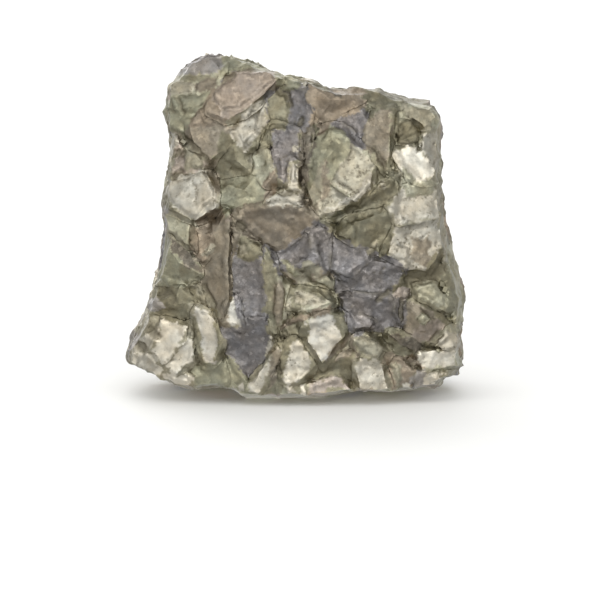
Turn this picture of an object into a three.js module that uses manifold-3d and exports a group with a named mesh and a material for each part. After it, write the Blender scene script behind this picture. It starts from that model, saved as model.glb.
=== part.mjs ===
// A raw lump of massive pyrite: crystals of many sizes grown into each other, broken off on all sides.
// Millimetres, +Z up. The origin is under the middle of the lump, on the surface that it stands on.
// X runs across the broad front, and -Y is the way the front faces.
import * as THREE from "three";
import { ConvexGeometry } from "three/addons/geometries/ConvexGeometry.js";
import { mergeVertices } from "three/addons/utils/BufferGeometryUtils.js";
import Module from "manifold-3d";

const wasm = await Module();
wasm.setup();

// Driving dimensions
const halfWidth = 29; // half the width, measured across the two lower corners
const height = 59; // from the foot to the knob at the top left
const backDepth = 17.5; // how far the back is behind the middle plane
const frontReach = 18.5; // how far the front bulges before the middle plane, at its fullest

// The front is laid out as it is seen from a little above: every place on it is
// [across, up] in the plane of that view, and its depth comes from the bulge below.
const viewTilt = THREE.MathUtils.degToRad(8);
const bulge = { middle: 22, sideFall: 6, topFall: 7.5, footFall: 1.8 };
const footDepth = bulge.footFall - frontReach; // the depth of the front foot, where up is 0

// How far the ground mass between the crystals lies below the front faces
const groundBelowFront = 1.3;

// The outline seen from the front, clockwise from the top left
const outline = [
  [-17.3, 57.8], [-15.4, 59], [-13, 58.9], [-8.5, 57.6], [-3.3, 56], [2.4, 54.8], [5.4, 53.6],
  [13.6, 53.1], [19.3, 51.3], [22.6, 49.8], [23.9, 47.6], [24.1, 43.5], [24.8, 35.8], [26.2, 27.3],
  [27.2, 23.4], [28.4, 18.2], [28, 14], [28.2, 9.8], [29, 4.9], [25.2, 5], [24.7, 3], [20.6, 2.9],
  [17.4, 2.2], [11.2, 2.6], [5.2, 1.4], [-2.9, 0.3], [-9.3, 0.5], [-11.3, 3.2], [-18.6, 2.8],
  [-23.9, 4.7], [-28.8, 7.1], [-28.9, 9.2], [-27.9, 12.3], [-25.9, 15.2], [-24.1, 21.2],
  [-22.9, 28.5], [-23, 34.2], [-22.3, 39.8], [-21.2, 45.2], [-22.3, 48], [-22.2, 51],
  [-21.4, 53.8], [-19.5, 56.2],
];

// One slice of the lump at each depth: how far its outline is drawn in there,
// how far more at most by chance, and how far the ground mass lies inside it
const slices = [
  { depth: -24, inset: 3, rough: 1.2, cover: 0.5 },
  { depth: -10, inset: 0.6, rough: 0.8, cover: 0.9 },
  { depth: -2, inset: 0, rough: 0, cover: 1.1 },
  { depth: 5.5, inset: 0.3, rough: 0.8, cover: 1.6 },
  { depth: 12, inset: 1.4, rough: 1.4, cover: 2.2 },
  { depth: backDepth, inset: 5, rough: 3, cover: 2.4 },
];

// The flat breaks over the back and shoulders of the ground mass: how straight back the first and
// the last of them face, the lowest that any of them looks, and how deep they go
const breaks = { count: 26, first: 0.98, last: 0.26, lowest: -0.5, depth: [0.8, 3.4] };

// What is scattered over the sides, top and back: how far apart, how large, and how far it stands out
const scatter = {
  crystals: { spacing: 6.4, size: [7, 15], rise: [1.2, 3.5] },
  chips: { spacing: 10, size: [2, 4], rise: [0.6, 1.6] },
  sockets: { spacing: 12, size: [5, 11], rise: [0.8, 2.2] },
};
const triesToScatter = 4000;

// The underside is flat inside this share of the lump's width and depth, and lifts off towards the edge
const flatShare = 0.66;
const edgeLift = 7;

// A repeatable source of chance, the same on every run
let seed = 611;
function chance(low = 0, high = 1) {
  seed = (seed + 0x6d2b79f5) | 0;
  let t = Math.imul(seed ^ (seed >>> 15), 1 | seed);
  t = (t + Math.imul(t ^ (t >>> 7), 61 | t)) ^ t;
  return low + (high - low) * (((t ^ (t >>> 14)) >>> 0) / 4294967296);
}

// The depth of the bulging front at a place across and at a height
function frontDepth(x, z) {
  const side = x / halfWidth;
  const above = Math.max(0, (z - bulge.middle) / (height - bulge.middle));
  const below = Math.max(0, (bulge.middle - z) / bulge.middle);
  return -frontReach + bulge.sideFall * side ** 2 + bulge.topFall * above ** 2 + bulge.footFall * below ** 2;
}

// The height of a point that is seen at a place up the view and lies at a depth
function heightSeen(up, depth) {
  return (up - (depth - footDepth) * Math.sin(viewTilt)) / Math.cos(viewTilt);
}

// How fast the bulging front falls back there, for each millimetre to the right and up
function lieOfFront(x, z) {
  const step = 0.5;
  return [
    (frontDepth(x + step, z) - frontDepth(x - step, z)) / (2 * step),
    (frontDepth(x, z + step) - frontDepth(x, z - step)) / (2 * step),
  ];
}

// How far the underside is lifted off at a place
function footLift(x, y) {
  const out = Math.hypot(x / halfWidth, y / backDepth);
  return edgeLift * Math.max(0, out - flatShare) ** 2;
}

// A closed solid from a geometry of three.js
function solid(geometry) {
  geometry.deleteAttribute("normal");
  geometry.deleteAttribute("uv");
  const merged = mergeVertices(geometry, 1e-4);
  return new wasm.Manifold(new wasm.Mesh({
    numProp: 3,
    vertProperties: new Float32Array(merged.attributes.position.array),
    triVerts: new Uint32Array(merged.index.array),
  }));
}

// The smallest convex solid around some points
function hull(points) {
  return solid(new ConvexGeometry(points));
}

// A closed solid through rings of points, with a flat cap on each end.
// The first ring is the foremost, and each runs counterclockwise as the front view shows it.
function loft(rings) {
  const count = rings[0].length;
  const faces = [];
  for (let r = 0; r < rings.length - 1; r++) {
    for (let i = 0; i < count; i++) {
      const a = r * count + i;
      const b = r * count + (i + 1) % count;
      faces.push(a, a + count, b + count, a, b + count, b);
    }
  }
  const capOf = (ring) => THREE.ShapeUtils.triangulateShape(ring.map((p) => new THREE.Vector2(p.x, p.z)), []);
  const last = (rings.length - 1) * count;
  for (const [a, b, c] of capOf(rings[0])) faces.push(a, b, c);
  for (const [a, b, c] of capOf(rings.at(-1))) faces.push(last + a, last + c, last + b);
  const geometry = new THREE.BufferGeometry().setFromPoints(rings.flat());
  geometry.setIndex(faces);
  return solid(geometry);
}

// The lump's outline at a depth, drawn in towards its upright middle line and its foot
function ring(depth, inset, rough) {
  return outline.toReversed().map(([across, up]) => {
    const drawnIn = inset + chance(0, rough);
    const x = across * (1 - drawnIn / halfWidth);
    const z = heightSeen(up, depth) * (1 - drawnIn / height);
    return new THREE.Vector3(x, depth, Math.max(z, footLift(x, depth)));
  });
}

// The outside that everything is broken off to
const outside = loft(slices.map(({ depth, inset, rough }) => ring(depth, inset, rough)));

// A body with a flat break across it, depth below its outermost point in that direction
function brokenOff(body, direction, depth) {
  const { vertProperties, numProp } = body.getMesh();
  let outermost = -Infinity;
  for (let i = 0; i < vertProperties.length; i += numProp) {
    outermost = Math.max(outermost, direction.dot(new THREE.Vector3().fromArray(vertProperties, i)));
  }
  const block = new THREE.BoxGeometry(3 * height, 3 * height, height);
  const turn = new THREE.Quaternion().setFromUnitVectors(new THREE.Vector3(0, 0, 1), direction);
  block.translate(0, 0, outermost - depth + height / 2);
  block.applyQuaternion(turn);
  return body.subtract(solid(block));
}

// Everything behind the bulging front face of the ground mass
function behindFront() {
  const steps = 5;
  const margin = 5;
  const shell = [];
  for (let i = 0; i <= steps; i++) {
    for (let j = 0; j <= steps; j++) {
      const across = THREE.MathUtils.lerp(-halfWidth - margin, halfWidth + margin, i / steps);
      const up = THREE.MathUtils.lerp(-margin, height + margin, j / steps);
      const depth = frontDepth(across, up) + groundBelowFront;
      shell.push(new THREE.Vector3(across, depth, up), new THREE.Vector3(across, backDepth + margin, up));
    }
  }
  return hull(shell);
}
const core = behindFront();

// The ground mass that the crystals stand in: the outside form drawn in a little,
// with the bulging front cut on it and large flat breaks over its back and shoulders
function groundMass() {
  const inner = loft(slices.map(({ depth, inset, rough, cover }) =>
    ring(depth > 0 ? depth - cover : depth, inset + cover, rough)));
  const goldenAngle = Math.PI * (3 - Math.sqrt(5));
  let body = inner.intersect(core);
  for (let i = 0; i < breaks.count; i++) {
    const backward = THREE.MathUtils.lerp(breaks.first, breaks.last, i / breaks.count);
    const round = i * goldenAngle + chance(-0.3, 0.3);
    const out = Math.sqrt(1 - backward ** 2);
    const direction = new THREE.Vector3(Math.cos(round) * out, backward, Math.sin(round) * out);
    if (direction.z > breaks.lowest) body = brokenOff(body, direction, chance(...breaks.depth));
  }
  return body;
}

// How deep a front crystal goes down into the ground mass, how much wider it is down there on each side,
// and how far its face grows past the shape given for it, into the crystals next to it
const rootDepth = 4;
const rootSpread = 2.6;
const overgrowth = 0.5;

// A crystal face and the crystal under it, which widens into the ground mass.
// slope is how far the face comes forward for each millimetre to the right and up,
// so a face with a negative second value looks up.
function frontCrystal({ shape, rise = 1, slope = [0, 0], peak }) {
  const middle = [0, 1].map((k) => shape.reduce((sum, corner) => sum + corner[k], 0) / shape.length);
  const [lieU, lieV] = lieOfFront(middle[0], middle[1]);
  const onFace = (u, v, more = 0) => {
    const forward = (slope[0] - lieU) * (u - middle[0]) + (slope[1] - lieV) * (v - middle[1]);
    const depth = frontDepth(middle[0], middle[1]) - rise - more - forward;
    return new THREE.Vector3(u, depth, heightSeen(v, depth));
  };
  const centre = onFace(middle[0], middle[1]);
  const face = shape.map(([u, v]) => onFace(u, v));
  const grown = (more, inward) => face.map((p) => p.clone().sub(centre)
    .setLength(p.distanceTo(centre) + more).add(centre).add(new THREE.Vector3(0, inward, 0)));
  const points = [...grown(overgrowth, 0), ...grown(overgrowth + rootSpread, rootDepth)];
  if (peak) points.push(onFace(peak[0], peak[1], peak[2]));
  return hull(points);
}

// The crystals of the front that can be told apart, row by row from the top
const frontCrystals = {
  topBand: {
    shape: [[-17, 57.4], [-15.2, 58.6], [-11, 58], [-8, 57.1], [-9, 55.3], [-13, 55.6]],
    rise: 0, slope: [0, -0.5],
  },
  topBandRight: {
    shape: [[-8, 57], [-3, 55.7], [2.2, 54.4], [0.5, 52.6], [-3, 54.6], [-8.5, 55]],
    rise: 0.1, slope: [0, -0.5],
  },
  knobUpper: {
    shape: [[-21.6, 52], [-19, 55.8], [-15, 57], [-12.8, 55.4], [-13.6, 52], [-17, 50.2], [-21, 49.6]],
    rise: 1.3, slope: [0.12, -0.12],
  },
  knobLower: {
    shape: [[-21.6, 50.6], [-17.2, 49.9], [-15.6, 47], [-17.9, 44.6], [-20, 46.2], [-21.8, 48.4]],
    rise: 1.1, slope: [0.12, 0.12],
  },
  knobWedge: {
    shape: [[-16.8, 50.2], [-13.6, 51.8], [-13.4, 49], [-15.8, 46.8]],
    rise: 1.6, slope: [0.19, 0.1],
  },
  topShard: {
    shape: [[-8.6, 54.7], [-2.9, 54.5], [-5.3, 52], [-8.6, 49.3], [-11.2, 47.7], [-13.8, 48.9],
      [-13.4, 51.4], [-11, 53.7]],
    rise: 2.1, slope: [0.05, -0.1],
  },
  shoulder: {
    shape: [[-17.4, 46.3], [-13.6, 48.5], [-10.9, 46.8], [-11.3, 43.6], [-14.4, 40.9], [-16.6, 43.4]],
    rise: 1.7, slope: [-0.1, -0.15],
  },
  upperBlade: {
    shape: [[-4.9, 50.8], [-8.4, 48.3], [-10.6, 45.2], [-9, 42.1], [-7.3, 43.2], [-5.7, 46]],
    rise: 0.9, slope: [-0.08, -0.15],
  },
  greyHead: {
    shape: [[-4, 52.2], [0.9, 52.6], [2.1, 48.8], [1.8, 45.6], [-2.6, 45.6], [-4.6, 49]],
    rise: 0.5, slope: [0.11, 0.1],
  },
  greyColumn: {
    shape: [[-3.8, 45.2], [0.1, 45.2], [0, 40.2], [-1.5, 36.9], [-3.4, 38.2]],
    rise: 1.1, slope: [-0.19, 0],
  },
  darkColumn: {
    shape: [[0.5, 45], [2.4, 45.2], [2.2, 39.8], [0.8, 36.6], [0.4, 40.6]],
    rise: 0.2, slope: [0.57, 0],
  },
  brownRoof: {
    shape: [[2.5, 52.9], [10, 52.4], [10.4, 50.3], [6.2, 47.6], [4, 47.9], [2.4, 50.6]],
    rise: 1.1, slope: [0, 0.08], peak: [5.6, 50.6, 1.7],
  },
  lilacWedge: {
    shape: [[5.2, 46.8], [10.4, 48.5], [11.5, 45.6], [9.2, 44], [7.4, 44.7]],
    rise: 0.7, slope: [0.1, 0.23],
  },
  greenRoof: {
    shape: [[11, 52.3], [16.4, 51.6], [17, 49.4], [14.6, 49.2], [11, 50.6]],
    rise: 0.5, slope: [0, -0.57],
  },
  greenShoulder: {
    shape: [[16.8, 51.4], [21.6, 49.8], [23, 47.6], [20.4, 45.9], [17.2, 49]],
    rise: 0.9, slope: [0.1, -0.38], peak: [19.6, 48.4, 1.1],
  },
  edgeBlock: {
    shape: [[21, 45.8], [23.5, 47.2], [23.8, 42.6], [22, 41.2], [20.7, 43]],
    rise: 0.8, slope: [-0.38, 0],
  },
  olivePillar: {
    shape: [[13.7, 48.7], [15.4, 48.2], [14.9, 38.6], [11.6, 42.8], [12.1, 46.3]],
    rise: 1.7, slope: [0.23, -0.04],
  },
  brokenUpper: {
    shape: [[15.9, 47.6], [18.2, 48], [18.4, 44.4], [15.9, 43.4]],
    rise: 0.4, slope: [-0.38, 0.38], peak: [17, 45.4, 1.2],
  },
  brokenSide: {
    shape: [[18.6, 47], [20.6, 45.4], [20.2, 43.2], [18.6, 43.2]],
    rise: 0.2, slope: [0.47, 0.19],
  },
  brokenLower: {
    shape: [[16, 42.9], [18.4, 43.8], [20, 42.8], [17.8, 42.1], [16, 41.8]],
    rise: 0.8, slope: [0, -0.38],
  },

  edgeSliver: {
    shape: [[-22.2, 44.6], [-19.9, 45.1], [-19.8, 42.6], [-21.9, 40.4]],
    rise: 0.9, slope: [0.38, 0],
  },
  leftUpper: {
    shape: [[-19.6, 42.4], [-16.8, 43], [-14.9, 40.4], [-17, 39.2], [-20.2, 39]],
    rise: 0.9, slope: [0.1, -0.28], peak: [-17.4, 41.2, 1.1],
  },
  leftEdgeLow: {
    shape: [[-22.2, 40], [-20.5, 38.8], [-21.6, 36.6], [-22.4, 37]],
    rise: 0.7, slope: [0.38, 0],
  },
  leftWindow: {
    shape: [[-21.3, 35.8], [-19.9, 37.7], [-15.8, 38.9], [-13.4, 35], [-13.8, 33], [-17.2, 31],
      [-20.5, 33]],
    rise: 1.7, slope: [0.02, -0.14],
  },
  darkWedge: {
    shape: [[-13.6, 40.4], [-10.6, 43], [-8.9, 41.4], [-8.1, 38.9], [-12, 37.3]],
    rise: 0.8, slope: [0.19, 0.28], peak: [-10.2, 40.6, 1.2],
  },
  greenBlade: {
    shape: [[-7.3, 40.6], [-4.9, 41.8], [-4.2, 38.2], [-5.3, 36.7], [-7.1, 38.3]],
    rise: 1.2, slope: [0.38, -0.1],
  },
  oliveFan: {
    shape: [[-11.6, 36.5], [-6.9, 37.9], [-5.4, 35.7], [-6.2, 33.2], [-11.8, 33.5]],
    rise: 1, slope: [0, -0.23], peak: [-8.6, 35.7, 1.6],
  },
  brightSplinter: {
    shape: [[-0.8, 39.8], [0.1, 38.8], [0, 35.7], [-1.3, 36.6]],
    rise: 1.7, slope: [0, -0.1],
  },
  brightStep: {
    shape: [[-4.9, 33.1], [-2.9, 35], [0.1, 35.3], [0.2, 33.2]],
    rise: 1.7, slope: [0, -0.15],
  },
  lens: {
    shape: [[3.5, 32.2], [2.2, 35.6], [2.4, 40], [3.8, 44], [6, 45.9], [8.3, 44], [7.9, 41.5],
      [5.6, 38.8], [5.4, 35.6]],
    rise: 1.4, slope: [0.1, 0], peak: [4.9, 41, 2],
  },
  crescentUpper: {
    shape: [[8.7, 43], [10.8, 41.9], [12, 39.3], [11.6, 36.6], [10, 34.6], [6.2, 37.2], [6.4, 40.6]],
    rise: 2, slope: [0.03, -0.1],
  },
  crescentLower: {
    shape: [[9.9, 34.4], [7.2, 32.8], [4.2, 31.9], [3.9, 33.2], [5.9, 36.9]],
    rise: 1.9, slope: [0.05, -0.08],
  },
  crescentBand: {
    shape: [[4.8, 31], [9, 32.7], [12.4, 35], [14.8, 36.2], [15.6, 34.2], [10, 31]],
    rise: 0.9, slope: [0, 0.47],
  },
  crescentSide: {
    shape: [[12.6, 41.2], [14.8, 38], [15.4, 36.4], [12.8, 35.6], [12.4, 38.4]],
    rise: 1.2, slope: [-0.28, 0.19],
  },
  rightCap: {
    shape: [[16.3, 41.7], [18.3, 42.4], [21, 41.2], [22.7, 38.8], [21.3, 37.4], [18.8, 38], [17, 40.2]],
    rise: 1.7, slope: [0.03, -0.14],
  },
  rightStrip: {
    shape: [[17.6, 35.8], [20.9, 36.9], [23.4, 35], [24, 31.8], [17, 30.4], [15.5, 33]],
    rise: 1.5, slope: [-0.03, -0.1],
  },
  rightStripLow: {
    shape: [[16.8, 30], [23.9, 31.4], [23.6, 26.5], [21.4, 22.4], [18.9, 23], [15.4, 25]],
    rise: 1.6, slope: [0, -0.08],
  },
  rightEdge: {
    shape: [[24.4, 34], [25.3, 31], [27.6, 20.5], [28, 18], [26.2, 15], [24.9, 20.4], [24.4, 26]],
    rise: 0.1, slope: [-0.45, 0],
  },

  leftSlope: {
    shape: [[-22.7, 33.2], [-18, 29.8], [-17.6, 26.4], [-22.3, 30.4]],
    rise: 1.1, slope: [0.1, -0.47],
  },
  leftMiddle: {
    shape: [[-17, 29.3], [-13, 30], [-12.9, 27], [-15.5, 24.2]],
    rise: 0.7, slope: [-0.19, -0.19], peak: [-14.2, 27.8, 1.2],
  },
  leftRough: {
    shape: [[-22.7, 28.4], [-18, 25.8], [-16.4, 22], [-20, 19.6], [-23.6, 21.6]],
    rise: 0.7, slope: [0.15, 0.15], peak: [-19.6, 23.6, 1.6],
  },
  taupePoint: {
    shape: [[-9.4, 31], [-8.6, 32.4], [-1.7, 32.6], [2.8, 31], [0.4, 28.9], [-2.9, 26.3], [-6.8, 28.7]],
    rise: 1.5, slope: [0, 0.19],
  },
  longTaupe: {
    shape: [[-12.2, 31.2], [-11.3, 31], [-11.5, 18], [-12.4, 14.9], [-15.6, 20], [-15, 24],
      [-13, 26.6]],
    rise: 1.2, slope: [0.38, 0],
  },
  longGrey: {
    shape: [[-10.7, 28.4], [-6.3, 24.8], [-5.5, 20.4], [-5.7, 14.2], [-11.8, 14.1], [-11.3, 24.5]],
    rise: 0.7, slope: [0.15, 0],
  },
  longGreyFoot: {
    shape: [[-5.8, 13.9], [-4.6, 10.4], [-7.3, 4.9], [-9.4, 5.2], [-11.8, 10.8], [-12.1, 13.8]],
    rise: 0.9, slope: [0, 0.15],
  },
  whiteSplinter: {
    shape: [[-10.5, 17.6], [-10.1, 15.2], [-9.3, 13.4], [-11.5, 14.2]],
    rise: 1.8, slope: [0, -0.1],
  },
  oliveRidge: {
    shape: [[-5.2, 26], [-3, 20.6], [-3.2, 12.4], [-5, 13.2], [-5.3, 20]],
    rise: 1.3, slope: [0.35, 0],
  },
  oliveRidgeRight: {
    shape: [[-2.9, 21], [-1.2, 18.2], [-2.2, 14.6], [-3, 12.6]],
    rise: 1.3, slope: [-0.3, 0],
  },
  fanLeft: {
    shape: [[-3, 25.7], [2.2, 28.8], [2.6, 24], [-1.8, 22.8]],
    rise: 0.9, slope: [0.23, -0.19],
  },
  fanRight: {
    shape: [[2.5, 28.8], [5, 28.4], [5.2, 23.4], [3, 21.4], [2.8, 24.4]],
    rise: 1, slope: [-0.28, 0],
  },
  fanFoot: {
    shape: [[-2, 22.4], [2.6, 23.4], [4.8, 21], [5.2, 19.2], [1.4, 19.6]],
    rise: 0.7, slope: [0, 0.38],
  },
  oliveCheek: {
    shape: [[10.4, 30.3], [16, 32.2], [16.6, 30.2], [15.1, 26], [12.4, 24.9], [8.2, 28.2]],
    rise: 0.9, slope: [-0.19, 0.28],
  },
  greyBridge: {
    shape: [[5.6, 27.6], [7.8, 27.9], [11.6, 24.8], [8.4, 22.4], [6, 23]],
    rise: 0.7, slope: [0.19, -0.19],
  },
  greyWing: {
    shape: [[8.8, 24.4], [17.4, 22.8], [15, 18.4], [10, 18.2], [8.2, 21.4]],
    rise: 0.6, slope: [0.08, 0.11],
  },
  greyWingLow: {
    shape: [[7.8, 17.6], [14.9, 17.8], [16.8, 12.6], [12.6, 12.6], [9, 15.8]],
    rise: 0.5, slope: [-0.08, 0.23],
  },
  hookLip: {
    shape: [[17.9, 22], [21.2, 21.6], [24.4, 23.2], [24.4, 21.2], [20.8, 20], [17.4, 20.2]],
    rise: 0.3, slope: [0, 0.19],
  },
  greenTriangle: {
    shape: [[20, 19.6], [22.6, 20], [25, 17.3], [24.2, 16], [20.9, 17.6]],
    rise: 1.1, slope: [0, -0.15],
  },
  brownPeak: {
    shape: [[18, 16.6], [21.3, 17.2], [24.4, 14], [22.5, 10.9], [18.8, 11.2]],
    rise: 0.5, peak: [21, 14.4, 2],
  },

  leftLowRough: {
    shape: [[-24.6, 17.4], [-19.6, 19.2], [-17.7, 17], [-18.6, 14.7], [-25, 14.6]],
    rise: 0.6, slope: [0.1, 0.19], peak: [-20.6, 16.8, 1.4],
  },
  cornerUpper: {
    shape: [[-27.3, 12], [-24.8, 14.2], [-22.6, 13.4], [-24.2, 9.4], [-28.2, 9]],
    rise: 0.8, slope: [0.19, 0], peak: [-25.4, 11.4, 1.3],
  },
  cornerLower: {
    shape: [[-28.4, 8.4], [-24.3, 8.9], [-22.5, 6.4], [-24, 5], [-27, 6.2]],
    rise: 1, slope: [0.1, -0.19],
  },
  heapUpper: {
    shape: [[-21.9, 13.9], [-18.8, 13], [-19.2, 11], [-22.2, 7.6], [-23.8, 9.5]],
    rise: 1.7, slope: [0, -0.12],
  },
  heapLower: {
    shape: [[-18.9, 10.9], [-17.3, 10.2], [-17.8, 7.9], [-19.9, 5.7], [-21.9, 7.3]],
    rise: 1.6, slope: [0.05, -0.15],
  },
  heapFoot: {
    shape: [[-22.8, 5.9], [-20, 5], [-17.6, 4.6], [-18.6, 3.1], [-21.2, 3.7]],
    rise: 1, slope: [0, 0.19],
  },
  brightLath: {
    shape: [[-17, 16.2], [-14.2, 14.4], [-12.7, 10.8], [-13.9, 7.6], [-15.4, 7.6], [-16.1, 12]],
    rise: 1.6, slope: [0.03, -0.1],
  },
  greenFoot: {
    shape: [[-16.8, 7], [-12.8, 7], [-11.9, 3.9], [-16.8, 3.7]],
    rise: 0.9, slope: [0.1, 0],
  },
  dullFoot: {
    shape: [[-11.4, 8], [-9.6, 4.7], [-7.9, 2.5], [-9.5, 1.1], [-11.2, 3.5]],
    rise: 0.9, slope: [0.19, 0],
  },
  brightRoot: {
    shape: [[-3.3, 9.5], [-2.8, 8.2], [-5.2, 4.2], [-6.2, 2.4], [-7.6, 3], [-5.1, 5.9]],
    rise: 1.6, slope: [0, -0.1],
  },
  footMiddle: {
    shape: [[-5.4, 3.4], [-3.4, 5.2], [-2.4, 3], [-2.6, 1], [-5.4, 0.9]],
    rise: 0.9, slope: [0, 0.19],
  },
  footSlivers: {
    shape: [[-2.2, 3], [0.2, 4], [1.9, 2.6], [1.5, 1.1], [-2.2, 0.9]],
    rise: 1.2, slope: [-0.19, 0],
  },
  paleWedge: {
    shape: [[-0.4, 19.2], [3.2, 18.3], [5.2, 17], [2.4, 16.4], [-0.8, 16.5]],
    rise: 1.5, slope: [0, -0.15],
  },
  rhombFace: {
    shape: [[4.8, 15.3], [6.8, 13.8], [7.4, 11.8], [4.4, 7.4], [2.3, 10.7], [1.9, 13.6]],
    rise: 1.7, slope: [0, -0.12],
  },
  sixSided: {
    shape: [[-0.1, 10.6], [1.2, 8.6], [2.3, 6.7], [0.7, 5.1], [-1.5, 3.8], [-2.3, 5.5], [-1.6, 8.8]],
    rise: 1.6, slope: [0, -0.1],
  },
  darkCollar: {
    shape: [[-2.4, 12.9], [1.2, 15.4], [1.5, 11.6], [-0.6, 11.2]],
    rise: 0.6, slope: [0.19, 0.28],
  },
  rightCollar: {
    shape: [[7.5, 14.7], [9, 12.6], [9.6, 9.6], [6.6, 7.8], [5.4, 8.4], [7.8, 11.8]],
    rise: 0.5, slope: [-0.28, 0.19],
  },
  lowCollar: {
    shape: [[3, 6.4], [6.2, 7.3], [9.4, 8.2], [9.6, 4.9], [6.8, 5], [3.3, 4.4]],
    rise: 0.7, slope: [0, 0.28],
  },
  pinkChip: {
    shape: [[8.4, 16], [12, 14], [11.6, 13.2], [9.2, 13.2]],
    rise: 1.2, slope: [0, -0.2],
  },
  oliveBar: {
    shape: [[9.6, 11.3], [11.6, 11.3], [14.8, 9.1], [14.1, 7.6], [10.8, 8.7]],
    rise: 1.3, slope: [0.05, -0.15],
  },
  squareFace: {
    shape: [[10, 7.1], [13.3, 7.9], [13.9, 5.1], [14.8, 3], [10.8, 2.9]],
    rise: 1.7, slope: [0, -0.1],
  },
  pinkFoot: {
    shape: [[2.4, 3.3], [6.4, 4.6], [8.6, 2.4], [2.6, 1.5]],
    rise: 1.1, slope: [0, -0.19],
  },
  grooveBlock: {
    shape: [[15.4, 12], [18.5, 10.9], [20, 8.8], [15.6, 8.4]],
    rise: 0.6, slope: [0.19, 0.19], peak: [17.2, 10.2, 1.2],
  },
  lowBlock: {
    shape: [[15.9, 7.6], [19.2, 6.4], [18.4, 3], [15.6, 3]],
    rise: 1, slope: [0.28, 0],
  },
  paleTip: {
    shape: [[23.4, 10], [25, 12.4], [27.7, 10.1], [27, 9]],
    rise: 1.2, slope: [0, -0.1],
  },
  creamBlock: {
    shape: [[20.6, 8.6], [27, 9], [27.8, 6.8], [21.4, 6]],
    rise: 1.4, slope: [-0.03, -0.12],
  },
  cornerBlock: {
    shape: [[19.9, 5.5], [24.5, 5.3], [24.3, 3.4], [20.5, 3.2]],
    rise: 1.1, slope: [-0.1, 0.19],
  },
};

// Whether a place of the front view lies on one of the crystals named above
function onNamedCrystal(across, up) {
  return Object.values(frontCrystals).some(({ shape }) => {
    let inside = false;
    shape.forEach(([ax, az], i) => {
      const [bx, bz] = shape[(i + 1) % shape.length];
      if (az > up !== bz > up && across < ax + ((up - az) / (bz - az)) * (bx - ax)) inside = !inside;
    });
    return inside;
  });
}

// A blocky crystal or a double pyramid, turned any way, that stands out of a surface by rise at its highest
function grownCrystal(place, normal, size, rise) {
  const geometry = chance() < 0.7
    ? new THREE.BoxGeometry(size * chance(0.7, 1.4), size, size * chance(0.7, 1.2))
    : new THREE.OctahedronGeometry(size * 0.85);
  const turn = new THREE.Euler(chance(0, Math.PI), chance(0, Math.PI), chance(0, Math.PI));
  geometry.applyMatrix4(new THREE.Matrix4().makeRotationFromEuler(turn));
  const corners = geometry.attributes.position;
  let reach = 0;
  for (let i = 0; i < corners.count; i++) {
    reach = Math.max(reach, normal.dot(new THREE.Vector3().fromBufferAttribute(corners, i)));
  }
  const { x, y, z } = place.clone().addScaledVector(normal, rise - reach);
  geometry.translate(x, y, z);
  return solid(geometry);
}

// Evenly scattered places on a solid, no two nearer than spacing, with the way that its surface faces
function placesOn(body, spacing, accept) {
  const mesh = body.getMesh();
  const corner = (i) => new THREE.Vector3().fromArray(mesh.vertProperties, mesh.triVerts[i] * mesh.numProp);
  const faces = [];
  let area = 0;
  for (let i = 0; i < mesh.triVerts.length; i += 3) {
    const face = new THREE.Triangle(corner(i), corner(i + 1), corner(i + 2));
    area += face.getArea();
    faces.push({ face, upTo: area });
  }
  const places = [];
  for (let t = 0; t < triesToScatter; t++) {
    const pick = chance(0, area);
    const { face } = faces.find(({ upTo }) => upTo >= pick);
    const [r, s] = [Math.sqrt(chance()), chance()];
    const place = face.a.clone().multiplyScalar(1 - r)
      .addScaledVector(face.b, r * (1 - s)).addScaledVector(face.c, r * s);
    const normal = face.getNormal(new THREE.Vector3());
    if (!accept(place, normal) || places.some((p) => p.place.distanceTo(place) < spacing)) continue;
    places.push({ place, normal });
  }
  return places;
}

const ground = groundMass();
const isFront = (normal) => normal.y < -0.72;
const isFoot = (place, normal) => normal.z < -0.8 && place.z < 1.5;
const besideFront = (place, normal) => !isFront(normal) && !isFoot(place, normal);
const betweenNamed = (place, normal) => {
  const seenUp = place.z * Math.cos(viewTilt) + (place.y - footDepth) * Math.sin(viewTilt);
  return !isFoot(place, normal) && !(isFront(normal) && onNamedCrystal(place.x, seenUp));
};

const crystals = placesOn(ground, scatter.crystals.spacing, besideFront).map(({ place, normal }) =>
  grownCrystal(place, normal, chance(...scatter.crystals.size), chance(...scatter.crystals.rise)));
const chips = placesOn(ground, scatter.chips.spacing, betweenNamed).map(({ place, normal }) =>
  grownCrystal(place, normal, chance(...scatter.chips.size), chance(...scatter.chips.rise)));
const sockets = placesOn(ground, scatter.sockets.spacing, besideFront).map(({ place, normal }) =>
  grownCrystal(place, normal.negate(), chance(...scatter.sockets.size), chance(...scatter.sockets.rise)));

const named = Object.values(frontCrystals).map(frontCrystal);
const grown = ground.add(wasm.Manifold.union(crystals).intersect(core))
  .subtract(wasm.Manifold.union(sockets))
  .add(wasm.Manifold.union([...named, ...chips]));

// Everything is broken off to the outside form, and chips that hang by nothing are left out
const slivers = 0.04;
const lump = grown.intersect(outside).simplify(slivers).decompose()
  .reduce((largest, piece) => (piece.volume() > largest.volume() ? piece : largest));

// The finished solid as geometry that three.js can draw
function geometryOf(body) {
  const mesh = body.getMesh();
  const geometry = new THREE.BufferGeometry();
  geometry.setAttribute("position", new THREE.BufferAttribute(mesh.vertProperties, mesh.numProp));
  geometry.setIndex(new THREE.BufferAttribute(mesh.triVerts, 1));
  return geometry;
}

const material = new THREE.MeshStandardMaterial({
  color: 0x8f8770, roughness: 0.45, metalness: 0.8, flatShading: true,
});
const pyrite = new THREE.Mesh(geometryOf(lump), material);
pyrite.name = "pyrite";

// The origin goes under the middle of the lump
const middle = new THREE.Box3().setFromObject(pyrite).getCenter(new THREE.Vector3());
pyrite.position.set(-middle.x, -middle.y, 0);

const group = new THREE.Group();
group.name = "raw pyrite";
group.add(pyrite);

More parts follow.
